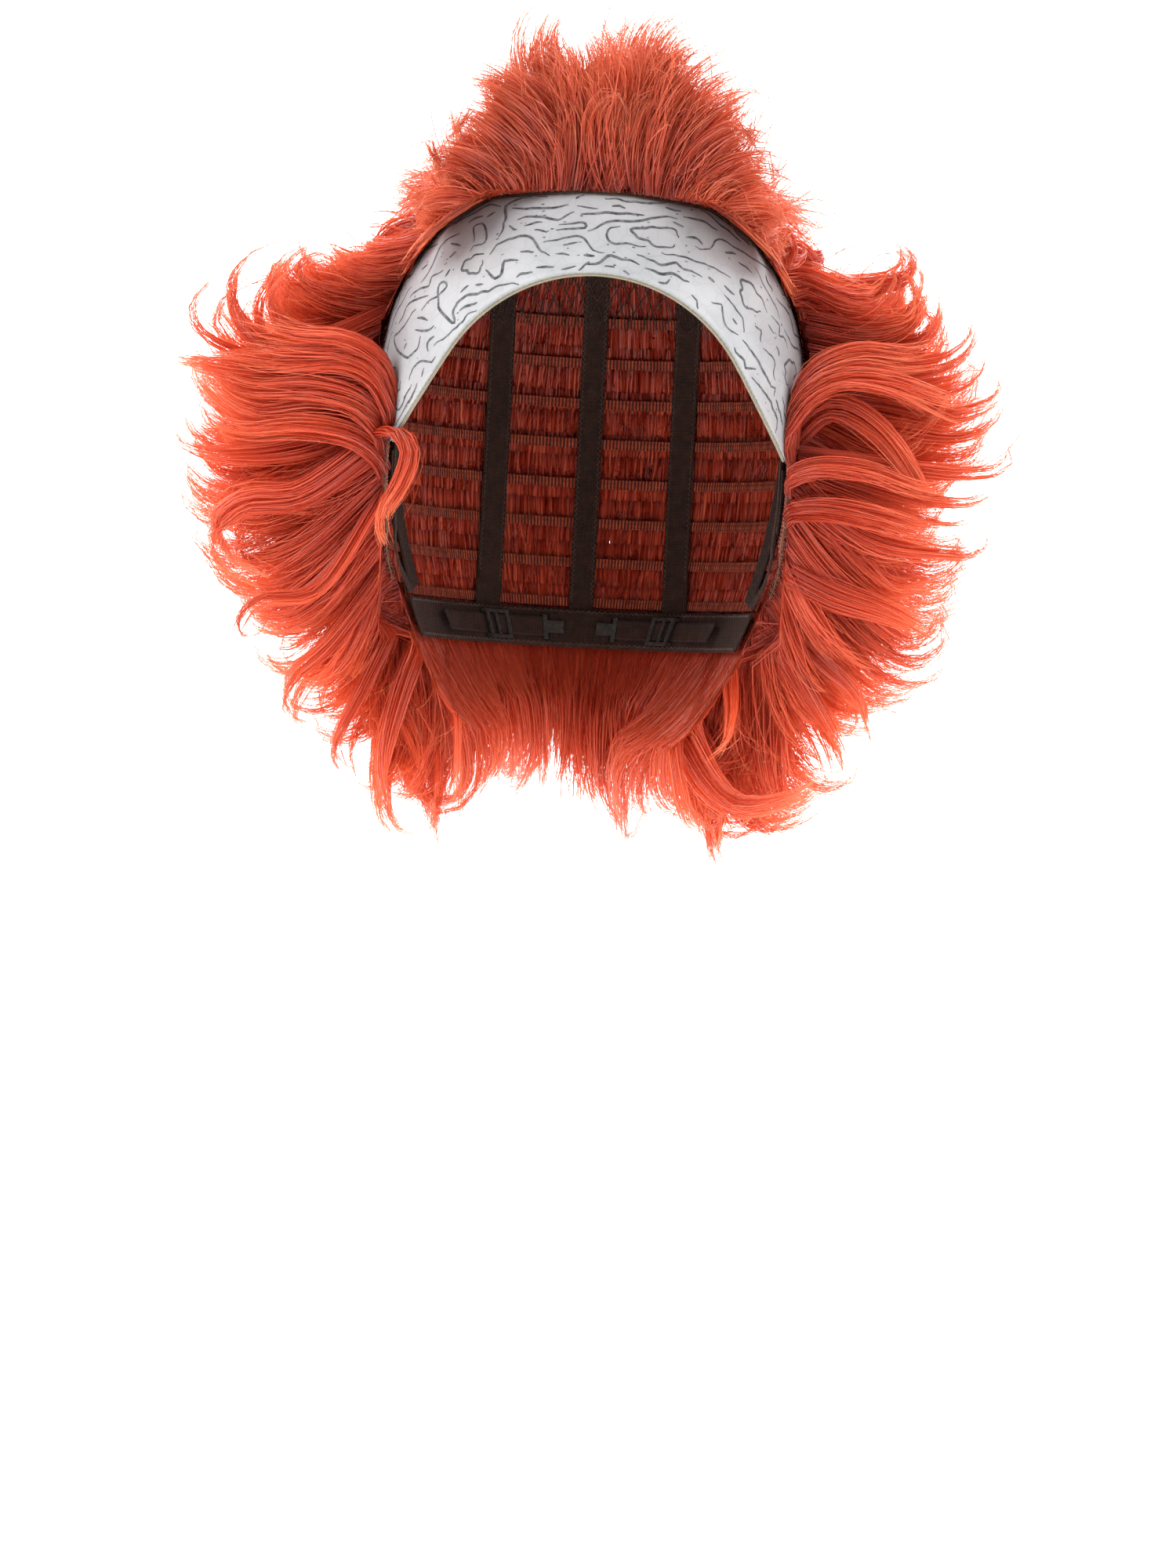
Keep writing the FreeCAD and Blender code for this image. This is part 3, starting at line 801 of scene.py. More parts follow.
def strap_layer(side, turns, depth, crimp):
    """A woven strap: a thin slab with ribbed edges that waves a little along its length."""
    rise, turn = np.meshgrid(np.linspace(-STRAP_HALF, STRAP_HALF, 13), np.linspace(*turns, 90), indexing="ij")
    wave = crimp * np.sin(np.radians(turn) * 38) * np.cos(rise / STRAP_HALF * 1.2)
    rib = 0.12 * np.exp(-((np.abs(rise) - STRAP_HALF + 0.7) / 0.4) ** 2)
    outer = strap_point(side * turn, rise, depth - 0.4 + wave - rib)
    inner = strap_point(side * turn, rise, depth + 0.4 + wave + rib)
    return slab(inner, outer, *turn.shape)


def make_straps():
    """Each nape strap and its folded return."""
    for side, label in SIDES:
        add_mesh(f"{label}_strap_webbing", *strap_layer(side, STRAP_TURNS, STRAP_DEPTH, 0.0),
                 material=RIBBON_CLOTH, slot="cap_ribbon", nodes=[f"{label}_slider_strap"])
        fold = add_mesh(f"{label}_strap_fold", *strap_layer(side, RETURN_TURNS, RETURN_DEPTH, 0.12),
                        material=RIBBON_CLOTH, body=None, slot="cap_ribbon", nodes=[f"{label}_strap_return"])
        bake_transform(fold)


def zigzag(path, across):
    """A zigzag row of stitches along a path."""
    count = int(distance_along(path)[-1] / STITCH_PERIOD * 2)
    swing = np.where(np.arange(count) % 2, STITCH_REACH, -STITCH_REACH)[:, None]
    row = evenly(path, count) + np.array(across) * swing
    return tube(row, 0.14, head_normal(row), sides=4)


def make_cap_stitches():
    """Zigzag rows that sew the ribbons and the nape tape on, seen from inside the cap."""
    parts = []
    turn = np.radians(np.linspace(-31, 128, 200))
    for centre in (0.0, -RIBBON_X, RIBBON_X):
        for side in (-1, 1):
            path = hoop(centre + side * (RIBBON_WIDTH / 2 - 0.9), turn, RIBBON_IN - 0.12)
            in_band = (path[:, 1] < 0) & (path[:, 2] < HAIRLINE_TOP + 3)
            parts.append(zigzag(path[~in_band], (1, 0, 0)))
    for z in (-81.2, -94.6):
        limit = float(front_turn(z, 0)) - 0.03
        parts.append(zigzag(ring_point(np.linspace(-limit, limit, 160), z, -0.12), (0, 0, 1)))
    add_mesh("cap_stitches", *joined(parts), material=STITCH_THREAD, slot="cap_ribbon")


def make_thread_loops():
    """Looped brown thread along the cap's side edges, where the temple wefts are sewn on."""
    rng = np.random.default_rng(41)
    for side, label in SIDES:
        parts = []
        for z in np.arange(-22, -74, -1.5):
            edge = ring_point(side * (front_turn(z, WEFT) + 0.005), z, WEFT + 0.8)
            out = head_normal(edge)
            back = unit(np.cross(out, (0, 0, side)))
            turn = np.linspace(0, 2 * math.pi * rng.uniform(0.8, 1.2), 16)[:, None] + rng.uniform(0, 6)
            reach = rng.uniform(1.3, 2.8)
            path = edge + back * reach * np.cos(turn) + np.array([0, 0, 1.0]) * reach * np.sin(turn)
            path = path + out * 0.6 * np.sin(2 * turn)
            parts.append(tube(path, 0.3, out, sides=5))
        add_mesh(f"{label}_weft_loops", *joined(parts), material=WEFT_THREAD, slot="weft_tape")


# ---------------------------------------------------------------- hair
STRAND_STEPS = 13
LOCK_COLUMNS = 96
DENSE = np.linspace(0, 1, 120)
THICKNESS = 0.46
FINE = 0.34
FACE_HALF = 79.5


def swoop(root, tip, up, bend, late=1.6, curl=0.0):
    """A guide from root to tip that turns by an angle towards up. late delays the turn, and curl turns its
    last third further, into a hook."""
    angle = bend * DENSE ** late + curl * np.clip((DENSE - 0.64) / 0.36, 0, 1) ** 1.2
    curve = np.cumsum(np.stack([np.cos(angle), np.sin(angle)], -1), axis=0)
    curve -= curve[0]
    chord = curve[-1]
    size = np.linalg.norm(chord)
    spin = np.array([[chord[0], chord[1]], [-chord[1], chord[0]]]) / size
    curve = curve @ spin.T / size
    root = np.asarray(root, float)
    reach = np.asarray(tip, float) - root
    ahead = unit(reach)
    side = unit(np.asarray(up, float) - np.dot(up, ahead) * ahead)
    return root + np.linalg.norm(reach) * (curve[:, :1] * ahead + curve[:, 1:] * side)


def through(points):
    """A smooth guide through a few points."""
    points = np.asarray(points, float)
    padded = np.concatenate([[2 * points[0] - points[1]], points, [2 * points[-1] - points[-2]]])
    at = DENSE * (len(points) - 1)
    low = np.minimum(at.astype(int), len(points) - 2)
    f = (at - low)[:, None]
    a, b, c, d = (padded[low + k] for k in range(4))
    curve = b + 0.5 * f * (c - a + f * (2 * a - 5 * b + 4 * c - d + f * (3 * b - a - 3 * c + d)))
    return evenly(curve, len(DENSE))


class Mane:
    """Collects the strands of one piece of hair, and makes its mesh."""

    def __init__(self, name, *nodes, steps=STRAND_STEPS, material=FIBRE):
        self.name = name
        self.nodes = nodes
        self.steps = steps
        self.material = material
        self.paths = []
        self.columns = []
        self.widths = []
        self.rng = np.random.default_rng(sum(map(ord, name)))

    def lock(self, guide, count, width, thick, across, taper=0.3, belly=0.15, ragged=0.3, wave=0.8,
             fuzz=0.06, clumps=4, spread=0.0, gather=0.72, keep_clear=True, strand=THICKNESS):
        """Adds a lock of strands along a guide. across is the direction its width runs in at the root. gather
        draws the strands to clumps towards the tip, and spread moves those apart."""
        rng = self.rng
        _, wide, deep = frames_along(guide, np.asarray(across, float))
        ring = rng.uniform(0, 2 * math.pi, count)
        reach = np.sqrt(rng.uniform(0, 1, count))
        u = reach * np.cos(ring)
        v = reach * np.sin(ring)
        centres = rng.uniform(-0.85, 0.85, (clumps, 2))
        own = np.argmin(np.hypot(u[:, None] - centres[:, 0], v[:, None] - centres[:, 1]), axis=1)
        clump_length = rng.uniform(0.8, 1.0, clumps)[own]
        longest = clump_length * (1 - ragged * rng.uniform(0, 1, count) ** 1.5)
        t = np.linspace(0, 1, self.steps)[None] * longest[:, None]
        at = t * (len(guide) - 1)
        low = np.minimum(at.astype(int), len(guide) - 2)
        part = (at - low)[..., None]
        line = guide[low] * (1 - part) + guide[low + 1] * part
        wide = wide[low]
        deep = deep[low]
        drawn = gather * np.clip((t - 0.35) / 0.65, 0, 1) ** 1.5
        u = u[:, None] * (1 - drawn) + centres[own, 0][:, None] * drawn
        v = v[:, None] * (1 - drawn) + centres[own, 1][:, None] * drawn
        profile = (1 + belly * np.sin(math.pi * t)) * (1 - taper * t ** 1.4)
        loose = np.where(rng.random(count) < fuzz, rng.uniform(2.0, 5.0, count), 1.0)[:, None]
        phase = rng.uniform(0, 2 * math.pi, (2, count, 1))
        rate = rng.uniform(3, 8, (2, count, 1))
        sway = wave * t * loose
        stray = spread * rng.normal(0, 1, (2, clumps))[:, own, None] * t ** 2.5
        paths = line
        for k, (way, place, size) in enumerate(((wide, u, width), (deep, v, thick))):
            by = place * size * profile / 2 * (1 + 0.3 * (loose - 1) * t) + stray[k]
            by = by + sway * np.sin(rate[k] * t + phase[k])
            paths = paths + way * by[..., None]
        if keep_clear:
            paths = clear_of_cap(paths)
        self.paths.append(paths)
        column = rng.integers(0, LOCK_COLUMNS)
        self.columns.append((column + rng.integers(-4, 5, count)) % LOCK_COLUMNS)
        self.widths.append(strand * rng.uniform(0.7, 1.25, count))

    def make(self):
        paths = np.concatenate(self.paths)
        columns = np.concatenate(self.columns)
        widths = np.concatenate(self.widths)
        rng = self.rng
        count = len(paths)
        tangent = unit(np.gradient(paths, axis=1))
        hint = rng.normal(size=(count, 1, 3))
        side = unit(np.cross(tangent, hint))
        normal = np.cross(side, tangent)
        t = np.linspace(0, 1, self.steps)
        half = widths[:, None] / 2 * (1 - 0.8 * t ** 4)[None]
        edge = side * half[..., None]
        vertices = np.stack([paths - edge, paths + edge], 2)
        normals = np.stack([unit(normal - 0.9 * side), unit(normal + 0.9 * side)], 2)
        first = np.arange(count)[:, None] * self.steps * 2 + np.arange(self.steps - 1)[None] * 2
        first = first.ravel()
        quads = np.stack([first, first + 1, first + 3, first + 2], -1)
        u = (columns[:, None, None] + np.array([0.15, 0.85])[None, None]) / LOCK_COLUMNS
        u = np.broadcast_to(u, (count, self.steps, 2))
        v = np.broadcast_to((0.01 + 0.98 * t)[None, :, None], (count, self.steps, 2))
        add_mesh(self.name, vertices, quads, np.stack([u, v], -1), normals, self.material, slot="fibre",
                 nodes=self.nodes)


def clear_of_cap(paths):
    """Strands pushed out of the head form, off the band and out of the face and neck openings."""
    deep = depth_in_head(paths, HAIR)
    paths = np.where((deep < 1)[..., None], paths / deep[..., None], paths)
    x, y, z = paths[..., 0], paths[..., 1], paths[..., 2]
    edge = np.minimum(hairline_x(z) + 0.6, 90.0)
    flat = hairline_z(x)
    over_band = (y < 0) & (z > BAND_END_Z) & (z < flat) & (np.abs(x) < edge)
    up_by = flat + 0.6 - z
    out_by = edge - np.abs(x)
    rise = over_band & (up_by < out_by)
    push = over_band & ~rise
    z = np.where(rise, z + up_by, z)
    x = np.where(push, np.sign(x) * edge, x)
    side_edge = np.interp(z, EDGE_Z, EDGE_Y)
    in_face = (z <= BAND_END_Z) & (y < side_edge) & (np.abs(x) < FACE_HALF)
    x = np.where(in_face & (z > -95), np.sign(x) * FACE_HALF, x)
    return np.stack([x, y, z], -1)


# The outline of the side hair from the crest's foot to the lowest lock, as (out, height) for each side.
SIDE_OUTLINE = {
    -1: [(84, 56), (104, 58), (123, 54), (141, 40), (156, 19), (161, 2), (160, -25), (146, -52), (135, -78),
         (128, -98), (111, -121), (93, -141), (71, -160), (46, -163)],
    1: [(84, 58), (104, 60), (122, 55), (134, 36), (150, 25), (158, 2), (160, -20), (154, -40), (147, -62),
        (140, -88), (124, -113), (106, -137), (82, -151), (44, -155)],
}
CREST_OUTLINE = [(-78, 56), (-72, 77), (-66, 96), (-57, 117), (-42, 137), (-18, 145), (6, 142), (24, 146),
                 (39, 144), (50, 126), (60, 118), (67, 86), (77, 56)]
BACK_MIDDLE = 20.0


# How high hair is rooted on the cap for a share of the outline's length.
ROOT_SHARES = (0.0, 0.62, 0.8, 1.0)
ROOT_LEVELS = (62.0, -54.0, -77.0, -87.0)
# Where looped locks stand clear of the combed ones at the right: the share's middle, its spread, the inset.
LOOP_ZONE = (0.40, 0.12, 0.13)


def along_outline(points, share):
    """A point at a share of an outline's length."""
    points = np.asarray(points, float)
    steps = distance_along(points)
    at = np.clip(share, 0, 1) * steps[-1]
    return np.array([np.interp(at, steps, points[:, 0]), np.interp(at, steps, points[:, 1])])


def side_end(side, share):
    """Where combed hair ends at a share of a side's outline, as (out, height)."""
    out, z = along_outline(SIDE_OUTLINE[side], share)
    middle, spread, inset = LOOP_ZONE
    if side > 0:
        out *= 1 - inset * math.exp(-((share - middle) / spread) ** 2)
    return out, z


def back_reach(z):
    """How far back the hair stands at a height."""
    return 32 + 128 * math.sqrt(max(1 - ((z + 30) / 146) ** 2, 0.05))


def skirt_tip(turn, share):
    """Where a side or back lock ends: its turn from the back, and its share of the way down."""
    side = 1 if turn > 0 else -1
    near, z_near = side_end(side, share)
    far, z_far = side_end(-side, share)
    even = 0.5 * max(0.0, math.cos(turn))
    out = near * (1 - even) + far * even
    z = z_near * (1 - even) + z_far * even
    depth = back_reach(z) - BACK_MIDDLE
    return np.array([out * math.sin(turn), BACK_MIDDLE + depth * math.cos(turn), z])


def in_row(rng, k, count, jitter):
    """The share of a row's length at which its lock k stands, loosened at random."""
    return (k + 0.5 + rng.uniform(-jitter, jitter)) / count


def toward(root, target, *shares):
    """A point part of the way from a root to a target."""
    way = target - root
    for share in shares:
        way = way * share
    return root + way


def skirt_locks(mane_for, shares, spacing, strands, lengths, seed):
    """Rows of locks round the sides and back, from the crown's side to the nape."""
    rng = np.random.default_rng(seed)
    for share in shares:
        z_root = float(np.interp(share, ROOT_SHARES, ROOT_LEVELS))
        limit = min(float(front_turn(z_root, HAIR)) - 0.02, 1.95)
        half = semi(HAIR, z_root)
        girth = half[0] * math.sqrt(max(1 - (z_root / half[2]) ** 2, 0.05)) * 2 * limit
        count = max(int(girth / spacing), 4)
        for k in range(count):
            turn = limit * (2 * in_row(rng, k, count, 0.2) - 1)
            root = ring_point(turn, z_root + rng.uniform(-4, 4), HAIR)
            length = rng.uniform(*lengths)
            open_turn = turn * min(1.0, 1.82 / abs(limit))
            target = skirt_tip(open_turn + rng.normal(0, 0.05), share + rng.uniform(-0.05, 0.05))
            flip = (0.25 * math.sin(turn), 0.25 * math.cos(turn), 1.0)
            if share > 0.82:
                flip = (math.sin(turn), math.cos(turn), 0.5)
            guide = swoop(root, toward(root, target, length), flip, rng.uniform(0.8, 1.6) + 0.6 * share,
                          rng.uniform(1.5, 2.6), rng.choice([0.0, rng.uniform(0.6, 2.0)]))
            across = np.array([math.cos(turn), -math.sin(turn), 0.5 * rng.normal()])
            mane = mane_for(turn, root[2])
            mane.lock(guide, int(strands * rng.uniform(0.75, 1.25)), rng.uniform(17, 26), rng.uniform(9, 14),
                      across, taper=rng.uniform(0.1, 0.4), spread=3.0, clumps=5, gather=0.8,
                      wave=rng.uniform(0.5, 1.2))


def face_edge_root(side, share, back):
    """A root on the cap's front edge, from the crest's foot to the nape, set some way behind that edge."""
    z = float(np.interp(share, ROOT_SHARES, ROOT_LEVELS))
    limit = float(front_turn(z, HAIR))
    return ring_point(side * (limit - back / 80.0), z, HAIR)


# Combed layers from the cap's front edge: (how far behind the edge, depth of the tips, share of the outline).
SHEET_LAYERS = ((2, -32, 0.92), (8, -24, 1.02), (16, -10, 1.02), (28, 6, 1.04))
SHEETS = 16
SHEET_CURL = {-1: 0.6, 1: 1.25}
# The turn from the back that a lock of the side hair is filed under.
SIDE_TURN = 1.6


def make_sheets(mane_for):
    """Broad combed sheets that sweep out from the cap's front edge and flip up at their ends."""
    rng = np.random.default_rng(8)
    for back, y_tip, length in SHEET_LAYERS:
        for side, _ in SIDES:
            for k in range(SHEETS):
                share = in_row(rng, k, SHEETS, 0.25)
                root = face_edge_root(side, share, back)
                out, height = side_end(side, share + rng.uniform(-0.025, 0.025))
                target = np.array([side * out, y_tip + rng.uniform(-7, 7) + 26 * share ** 1.5, height])
                target = toward(root, target, length, rng.uniform(0.9, 1.03))
                curl = (SHEET_CURL[side] + 0.7 * share) * rng.uniform(0, 1.6)
                guide = swoop(root, target, (0.15 * side, -0.15, 1.0), rng.uniform(0.9, 1.7),
                              rng.uniform(1.8, 3.0), curl)
                rise = rng.uniform(-3.0, 4.5) * np.sin(2 * math.pi * DENSE) * (1 - DENSE)
                guide = guide + rise[:, None] * np.array([0, 0.3, 1.0])
                before = face_edge_root(side, max(share - 0.03, 0), back)
                after = face_edge_root(side, min(share + 0.03, 1), back)
                mane = mane_for(side * SIDE_TURN, root[2])
                mane.lock(guide, 200, rng.uniform(17, 26), 8, unit(before - after), spread=3.5, clumps=5,
                          taper=rng.uniform(-0.05, 0.3), gather=0.8, ragged=0.4, wave=1.0, fuzz=0.12)


# Single locks that stand out at the sides, as (width, strands, and the way they run as out and height).
ACCENTS = {
    -1: (
        (8, 110, ((84, 24), (112, 12), (134, 17), (143, 33), (134, 49), (117, 56))),
        (7, 80, ((82, 30), (106, 18), (123, 23), (127, 37), (119, 48), (109, 54))),
        (6, 60, ((84, 14), (118, 5), (147, 13), (158, 23), (154, 33), (142, 44))),
        (5, 50, ((80, 38), (98, 36), (113, 38), (116, 46), (108, 50), (100, 46))),
        (20, 260, ((85, 12), (112, 6), (140, 2), (165, 4))),
        (16, 200, ((83, -4), (112, -8), (138, -8), (163, 12))),
        (11, 130, ((80, -12), (112, -26), (140, -30), (158, -27), (164, -17))),
        (12, 150, ((80, -20), (110, -44), (132, -48), (142, -57), (141, -68), (133, -75), (121, -80))),
        (6, 70, ((78, -40), (101, -80), (124, -86), (132, -94), (133, -101), (127, -102), (120, -97))),
        (7, 80, ((72, -62), (96, -100), (111, -116), (113, -128), (106, -134), (96, -134))),
        (5, 60, ((66, -74), (84, -118), (94, -143), (88, -153), (80, -152), (77, -146))),
        (9, 110, ((58, -84), (70, -122), (75, -150), (72, -168), (63, -175), (53, -172))),
        (4, 40, ((48, -90), (46, -125), (44, -155), (46, -179))),
    ),
    1: (
        (9, 120, ((78, 52), (94, 48), (108, 49), (119, 52), (122, 58), (118, 63), (111, 65))),
        (12, 170, ((84, 34), (104, 31), (118, 33), (126, 41), (125, 53), (118, 59))),
        (10, 120, ((85, 28), (108, 25), (126, 27), (134, 36), (135, 47))),
        (10, 120, ((85, 20), (112, 17), (136, 20), (147, 30), (146, 39))),
        (9, 110, ((85, 12), (116, 8), (143, 12), (152, 22), (148, 34))),
        (8, 110, ((84, 6), (113, 5), (139, 0), (154, 3), (160, 9), (155, 15), (146, 15))),
        (7, 90, ((84, -2), (113, -6), (143, -9), (157, -3), (161, 5), (157, 12))),
        (6, 80, ((82, -18), (128, -22), (149, -23), (162, -20), (165, -13), (160, -7), (154, -7))),
        (6, 80, ((82, -22), (128, -33), (148, -34), (158, -29), (161, -21))),
        (6, 80, ((80, -26), (130, -42), (148, -43), (155, -36))),
        (8, 100, ((80, -30), (112, -50), (142, -54), (154, -53), (158, -46), (152, -40))),
        (11, 160, ((79, -13), (90, -1), (100, 0), (112, -7), (122, -18), (130, -30), (136, -42))),
        (12, 150, ((74, -60), (98, -72), (122, -80), (140, -90), (141, -97))),
        (9, 110, ((70, -70), (96, -98), (109, -110), (114, -122), (113, -130), (107, -134))),
        (8, 100, ((66, -74), (92, -112), (104, -130), (108, -142), (101, -146))),
        (13, 170, ((46, -92), (46, -132), (62, -156), (82, -155), (96, -146), (93, -141))),
        (8, 90, ((56, -88), (61, -112), (60, -130), (49, -141))),
        (8, 90, ((44, -92), (40, -130), (44, -160), (54, -168), (57, -161))),
    ),
}


# Locks rooted behind the band's ends that lie over its corners, as (width, strands, way as (x, y, z)).
BAND_END_LOCKS = {
    -1: (
        (9, 150, ((78, -37, -20), (79, -42, -8), (85, -46, 3), (98, -46, 8), (122, -42, 7),
                  (150, -38, 9))),
        (9, 150, ((76, -40, -14), (78, -45, -3), (84, -48, 8), (97, -47, 14), (118, -43, 14),
                  (144, -38, 19))),
        (10, 150, ((80, -34, -26), (83, -40, -16), (92, -44, -8), (110, -42, -5), (134, -38, -7),
                   (156, -36, 1))),
        (9, 130, ((79, -32, -34), (84, -38, -26), (95, -42, -20), (114, -41, -18), (136, -38, -19),
                  (155, -36, -12))),
    ),
    1: (
        (9, 150, ((79, -36, -22), (78, -42, -8), (84, -46, 4), (97, -47, 11), (116, -44, 10), (136, -40, 4),
                  (152, -37, 2))),
        (9, 140, ((80, -36, -16), (81, -42, 2), (89, -46, 14), (104, -46, 20), (124, -42, 19),
                  (144, -38, 24))),
        (8, 120, ((79, -34, -34), (80, -40, -28), (91, -44, -24), (110, -44, -25), (132, -40, -31),
                  (150, -37, -30))),
        (9, 130, ((79, -30, -44), (82, -36, -41), (95, -41, -40), (114, -42, -43), (134, -39, -48),
                  (150, -36, -45))),
    ),
}


def make_band_end_locks(mane_for):
    for side, locks in BAND_END_LOCKS.items():
        for width, strands, way in locks:
            guide = through([(side * x, y, z) for x, y, z in way])
            mane = mane_for(side * SIDE_TURN, way[0][2])
            mane.lock(guide, strands, width, 0.45 * width, (0, 0, 1), taper=-0.3, belly=0.1, ragged=0.5,
                      clumps=6, gather=0.5, wave=0.9, fuzz=0.1, spread=3.0, keep_clear=False)


def make_accents(mane_for):
    """The locks that stand out, in front of the sheets, and the same again behind them as loose echoes."""
    rng = np.random.default_rng(14)
    for side, locks in ACCENTS.items():
        for width, strands, way in locks:
            z_root = way[0][1]
            y_root = float(np.interp(z_root, EDGE_Z, EDGE_Y)) if z_root < BAND_END_Z else -20.0
            t = np.linspace(0, 1, len(way))
            for behind, scale, share in ((0, 1.0, 1.0), (26, 0.9, 0.7), (52, 0.8, 0.5)):
                depth = y_root + behind + (-37 - y_root) * (1 - (1 - t) ** 2)
                shift = rng.normal(0, 0.07 * behind, 2)
                guide = through([(side * (76 + (out - 76) * scale + shift[0]), y, z + shift[1])
                                 for (out, z), y in zip(way, depth)])
                mane = mane_for(side * SIDE_TURN, z_root)
                mane.lock(guide, int(strands * share), width, 0.7 * width, (0, 0.2, 1), taper=0.35,
                          belly=0.25, clumps=3, wave=0.5, fuzz=0.04, spread=1.0)


def make_under_layer():
    """Short hair that lies down over each weft, so that the cap shows no gaps."""
    mane = Mane("under_layer_strands", steps=5)
    rng = np.random.default_rng(9)
    for z_root in np.arange(101, -80, -9):
        limit = float(front_turn(z_root, HAIR)) - 0.42
        around = math.sqrt(1 - (z_root / (HEAD_TOP + HAIR if z_root > 0 else HEAD_NAPE)) ** 2)
        count = max(int(2 * limit * 86 * around / 7.5), 4)
        drop = min(32, z_root + 86)
        for k in range(count):
            turn = limit * (2 * in_row(rng, k, count, 0.2) - 1)
            down = [ring_point(turn, z_root - d, HAIR + 0.8 + 0.1 * d) for d in np.linspace(0, drop, 12)]
            guide = evenly(np.array(down), len(DENSE))
            across = (math.cos(turn), -math.sin(turn), 0.0)
            mane.lock(guide, 39, 15, 2.5, across, taper=-0.1, wave=0.5, ragged=0.25, clumps=8, gather=0.0,
                      strand=1.15)
    mane.make()


def make_flyaways(mane_for):
    """Loose single fibres that cross the combed layers."""
    rng = np.random.default_rng(17)
    for _ in range(640):
        side = rng.choice([-1, 1])
        share = rng.uniform(0.02, 0.98)
        root = face_edge_root(side, share, rng.uniform(1, 14))
        out, height = along_outline(SIDE_OUTLINE[side], np.clip(share + rng.normal(0, 0.11), 0, 1))
        target = np.array([side * out, rng.uniform(-40, -24) + 26 * share ** 1.5, height])
        target = toward(root, target, rng.uniform(0.35, 1.06))
        way = rng.normal(size=3)
        way[1] = -abs(way[1])
        guide = swoop(root, target, way, rng.uniform(0.6, 2.4), rng.uniform(0.8, 2.0), rng.uniform(0, 1.6))
        mane = mane_for(side * SIDE_TURN, root[2])
        mane.lock(guide, 2, 1.5, 1.5, (0, 0, 1), ragged=0.1, clumps=1, wave=1.2, strand=FINE)


# The levels of the side and back hair, as (name, lowest root), and how far round from the back the back is.
SIDE_LEVELS = (("upper", 20), ("middle", -20), ("lower", -61), ("nape", -math.inf))
LEVELS = {"left": SIDE_LEVELS, "right": SIDE_LEVELS,
          "back": (("upper", 8), ("middle", -52), ("lower", -math.inf))}
BACK_TURN = 0.95


def make_skirt():
    """The side and back hair."""
    manes = {(region, level): Mane(f"{region}_{level}_locks", f"{region}_hair_{level}")
             for region, levels in LEVELS.items() for level, _ in levels}

    def mane_for(turn, z_root):
        region = "back" if abs(turn) < BACK_TURN else "right" if turn > 0 else "left"
        return manes[region, next(level for level, lowest in LEVELS[region] if z_root > lowest)]

    skirt_locks(mane_for, np.linspace(0.02, 0.98, 10), 17, 150, (0.9, 1.05), 3)
    skirt_locks(mane_for, np.linspace(0.05, 0.95, 8), 20, 110, (0.55, 0.82), 4)
    make_sheets(mane_for)
    make_band_end_locks(mane_for)
    make_accents(mane_for)
    make_flyaways(mane_for)
    for mane in manes.values():
        mane.make()


def fountain(mane, rng, root, target, side, bend, strands, width, curl=0.0, thick=7, **looks):
    """A lock of the crest, which rises and then arches outwards to a side."""
    guide = swoop(root, target, (side, 0.1, -0.25), bend, 1.3, curl)
    mane.lock(guide, strands, width, thick, np.array([1, 0, 0]) + 0.15 * rng.normal(size=3), **looks)


# Layers of the crest: (share of the outline, depth of the tips, how far behind the band, locks across).
CREST_LAYERS = ((0.52, -88, 0.0, 17), (0.74, -87, 1.5, 19), (0.9, -78, 5.0, 22), (0.99, -62, 12.0, 22))
# Tufts of the crest: (root, tip, side it arches to, bend, width, curl).
CREST_TUFTS = (
    ((-14, -74, 86), (-58, -84, 113), -1, 0.7, 17, 0.3),
    ((-12, -74, 88), (-56, -82, 119), -1, 0.7, 15, 0.4),
    ((-20, -72, 86), (-56, -80, 107), -1, 0.8, 16, 0.3),
    ((-8, -72, 88), (-53, -80, 117), -1, 0.6, 14, 0.5),
    ((-24, -66, 92), (-31, -66, 133), 1, 0.5, 15, 0.9),
    ((-12, -60, 96), (-20, -58, 146), 1, 0.6, 16, 1.2),
    ((-14, -64, 94), (-14, -64, 141), -1, 0.5, 16, 0.6),
    ((-2, -60, 96), (-8, -58, 144), 1, 0.7, 9, 2.2),
    ((10, -60, 96), (22, -54, 148), 1, 0.5, 14, 0.8),
    ((14, -62, 95), (36, -58, 147), 1, 0.6, 15, 1.0),
    ((18, -66, 92), (42, -64, 136), 1, 0.8, 13, 1.2),
    ((22, -70, 90), (57, -74, 124), 1, 0.9, 15, 0.5),
    ((28, -72, 86), (63, -78, 112), 1, 1.0, 16, 0.6),
    ((34, -74, 82), (68, -80, 98), 1, 1.1, 16, 0.7),
    ((40, -72, 78), (73, -78, 82), 1, 1.2, 15, 0.8),
    ((46, -68, 72), (77, -74, 66), 1, 1.2, 14, 0.9),
    ((-40, -72, 78), (-74, -78, 80), -1, 1.2, 15, 0.9),
    ((-46, -68, 72), (-80, -74, 64), -1, 1.2, 14, 0.9),
    ((-32, -74, 82), (-66, -80, 93), -1, 1.1, 15, 1.0),
)


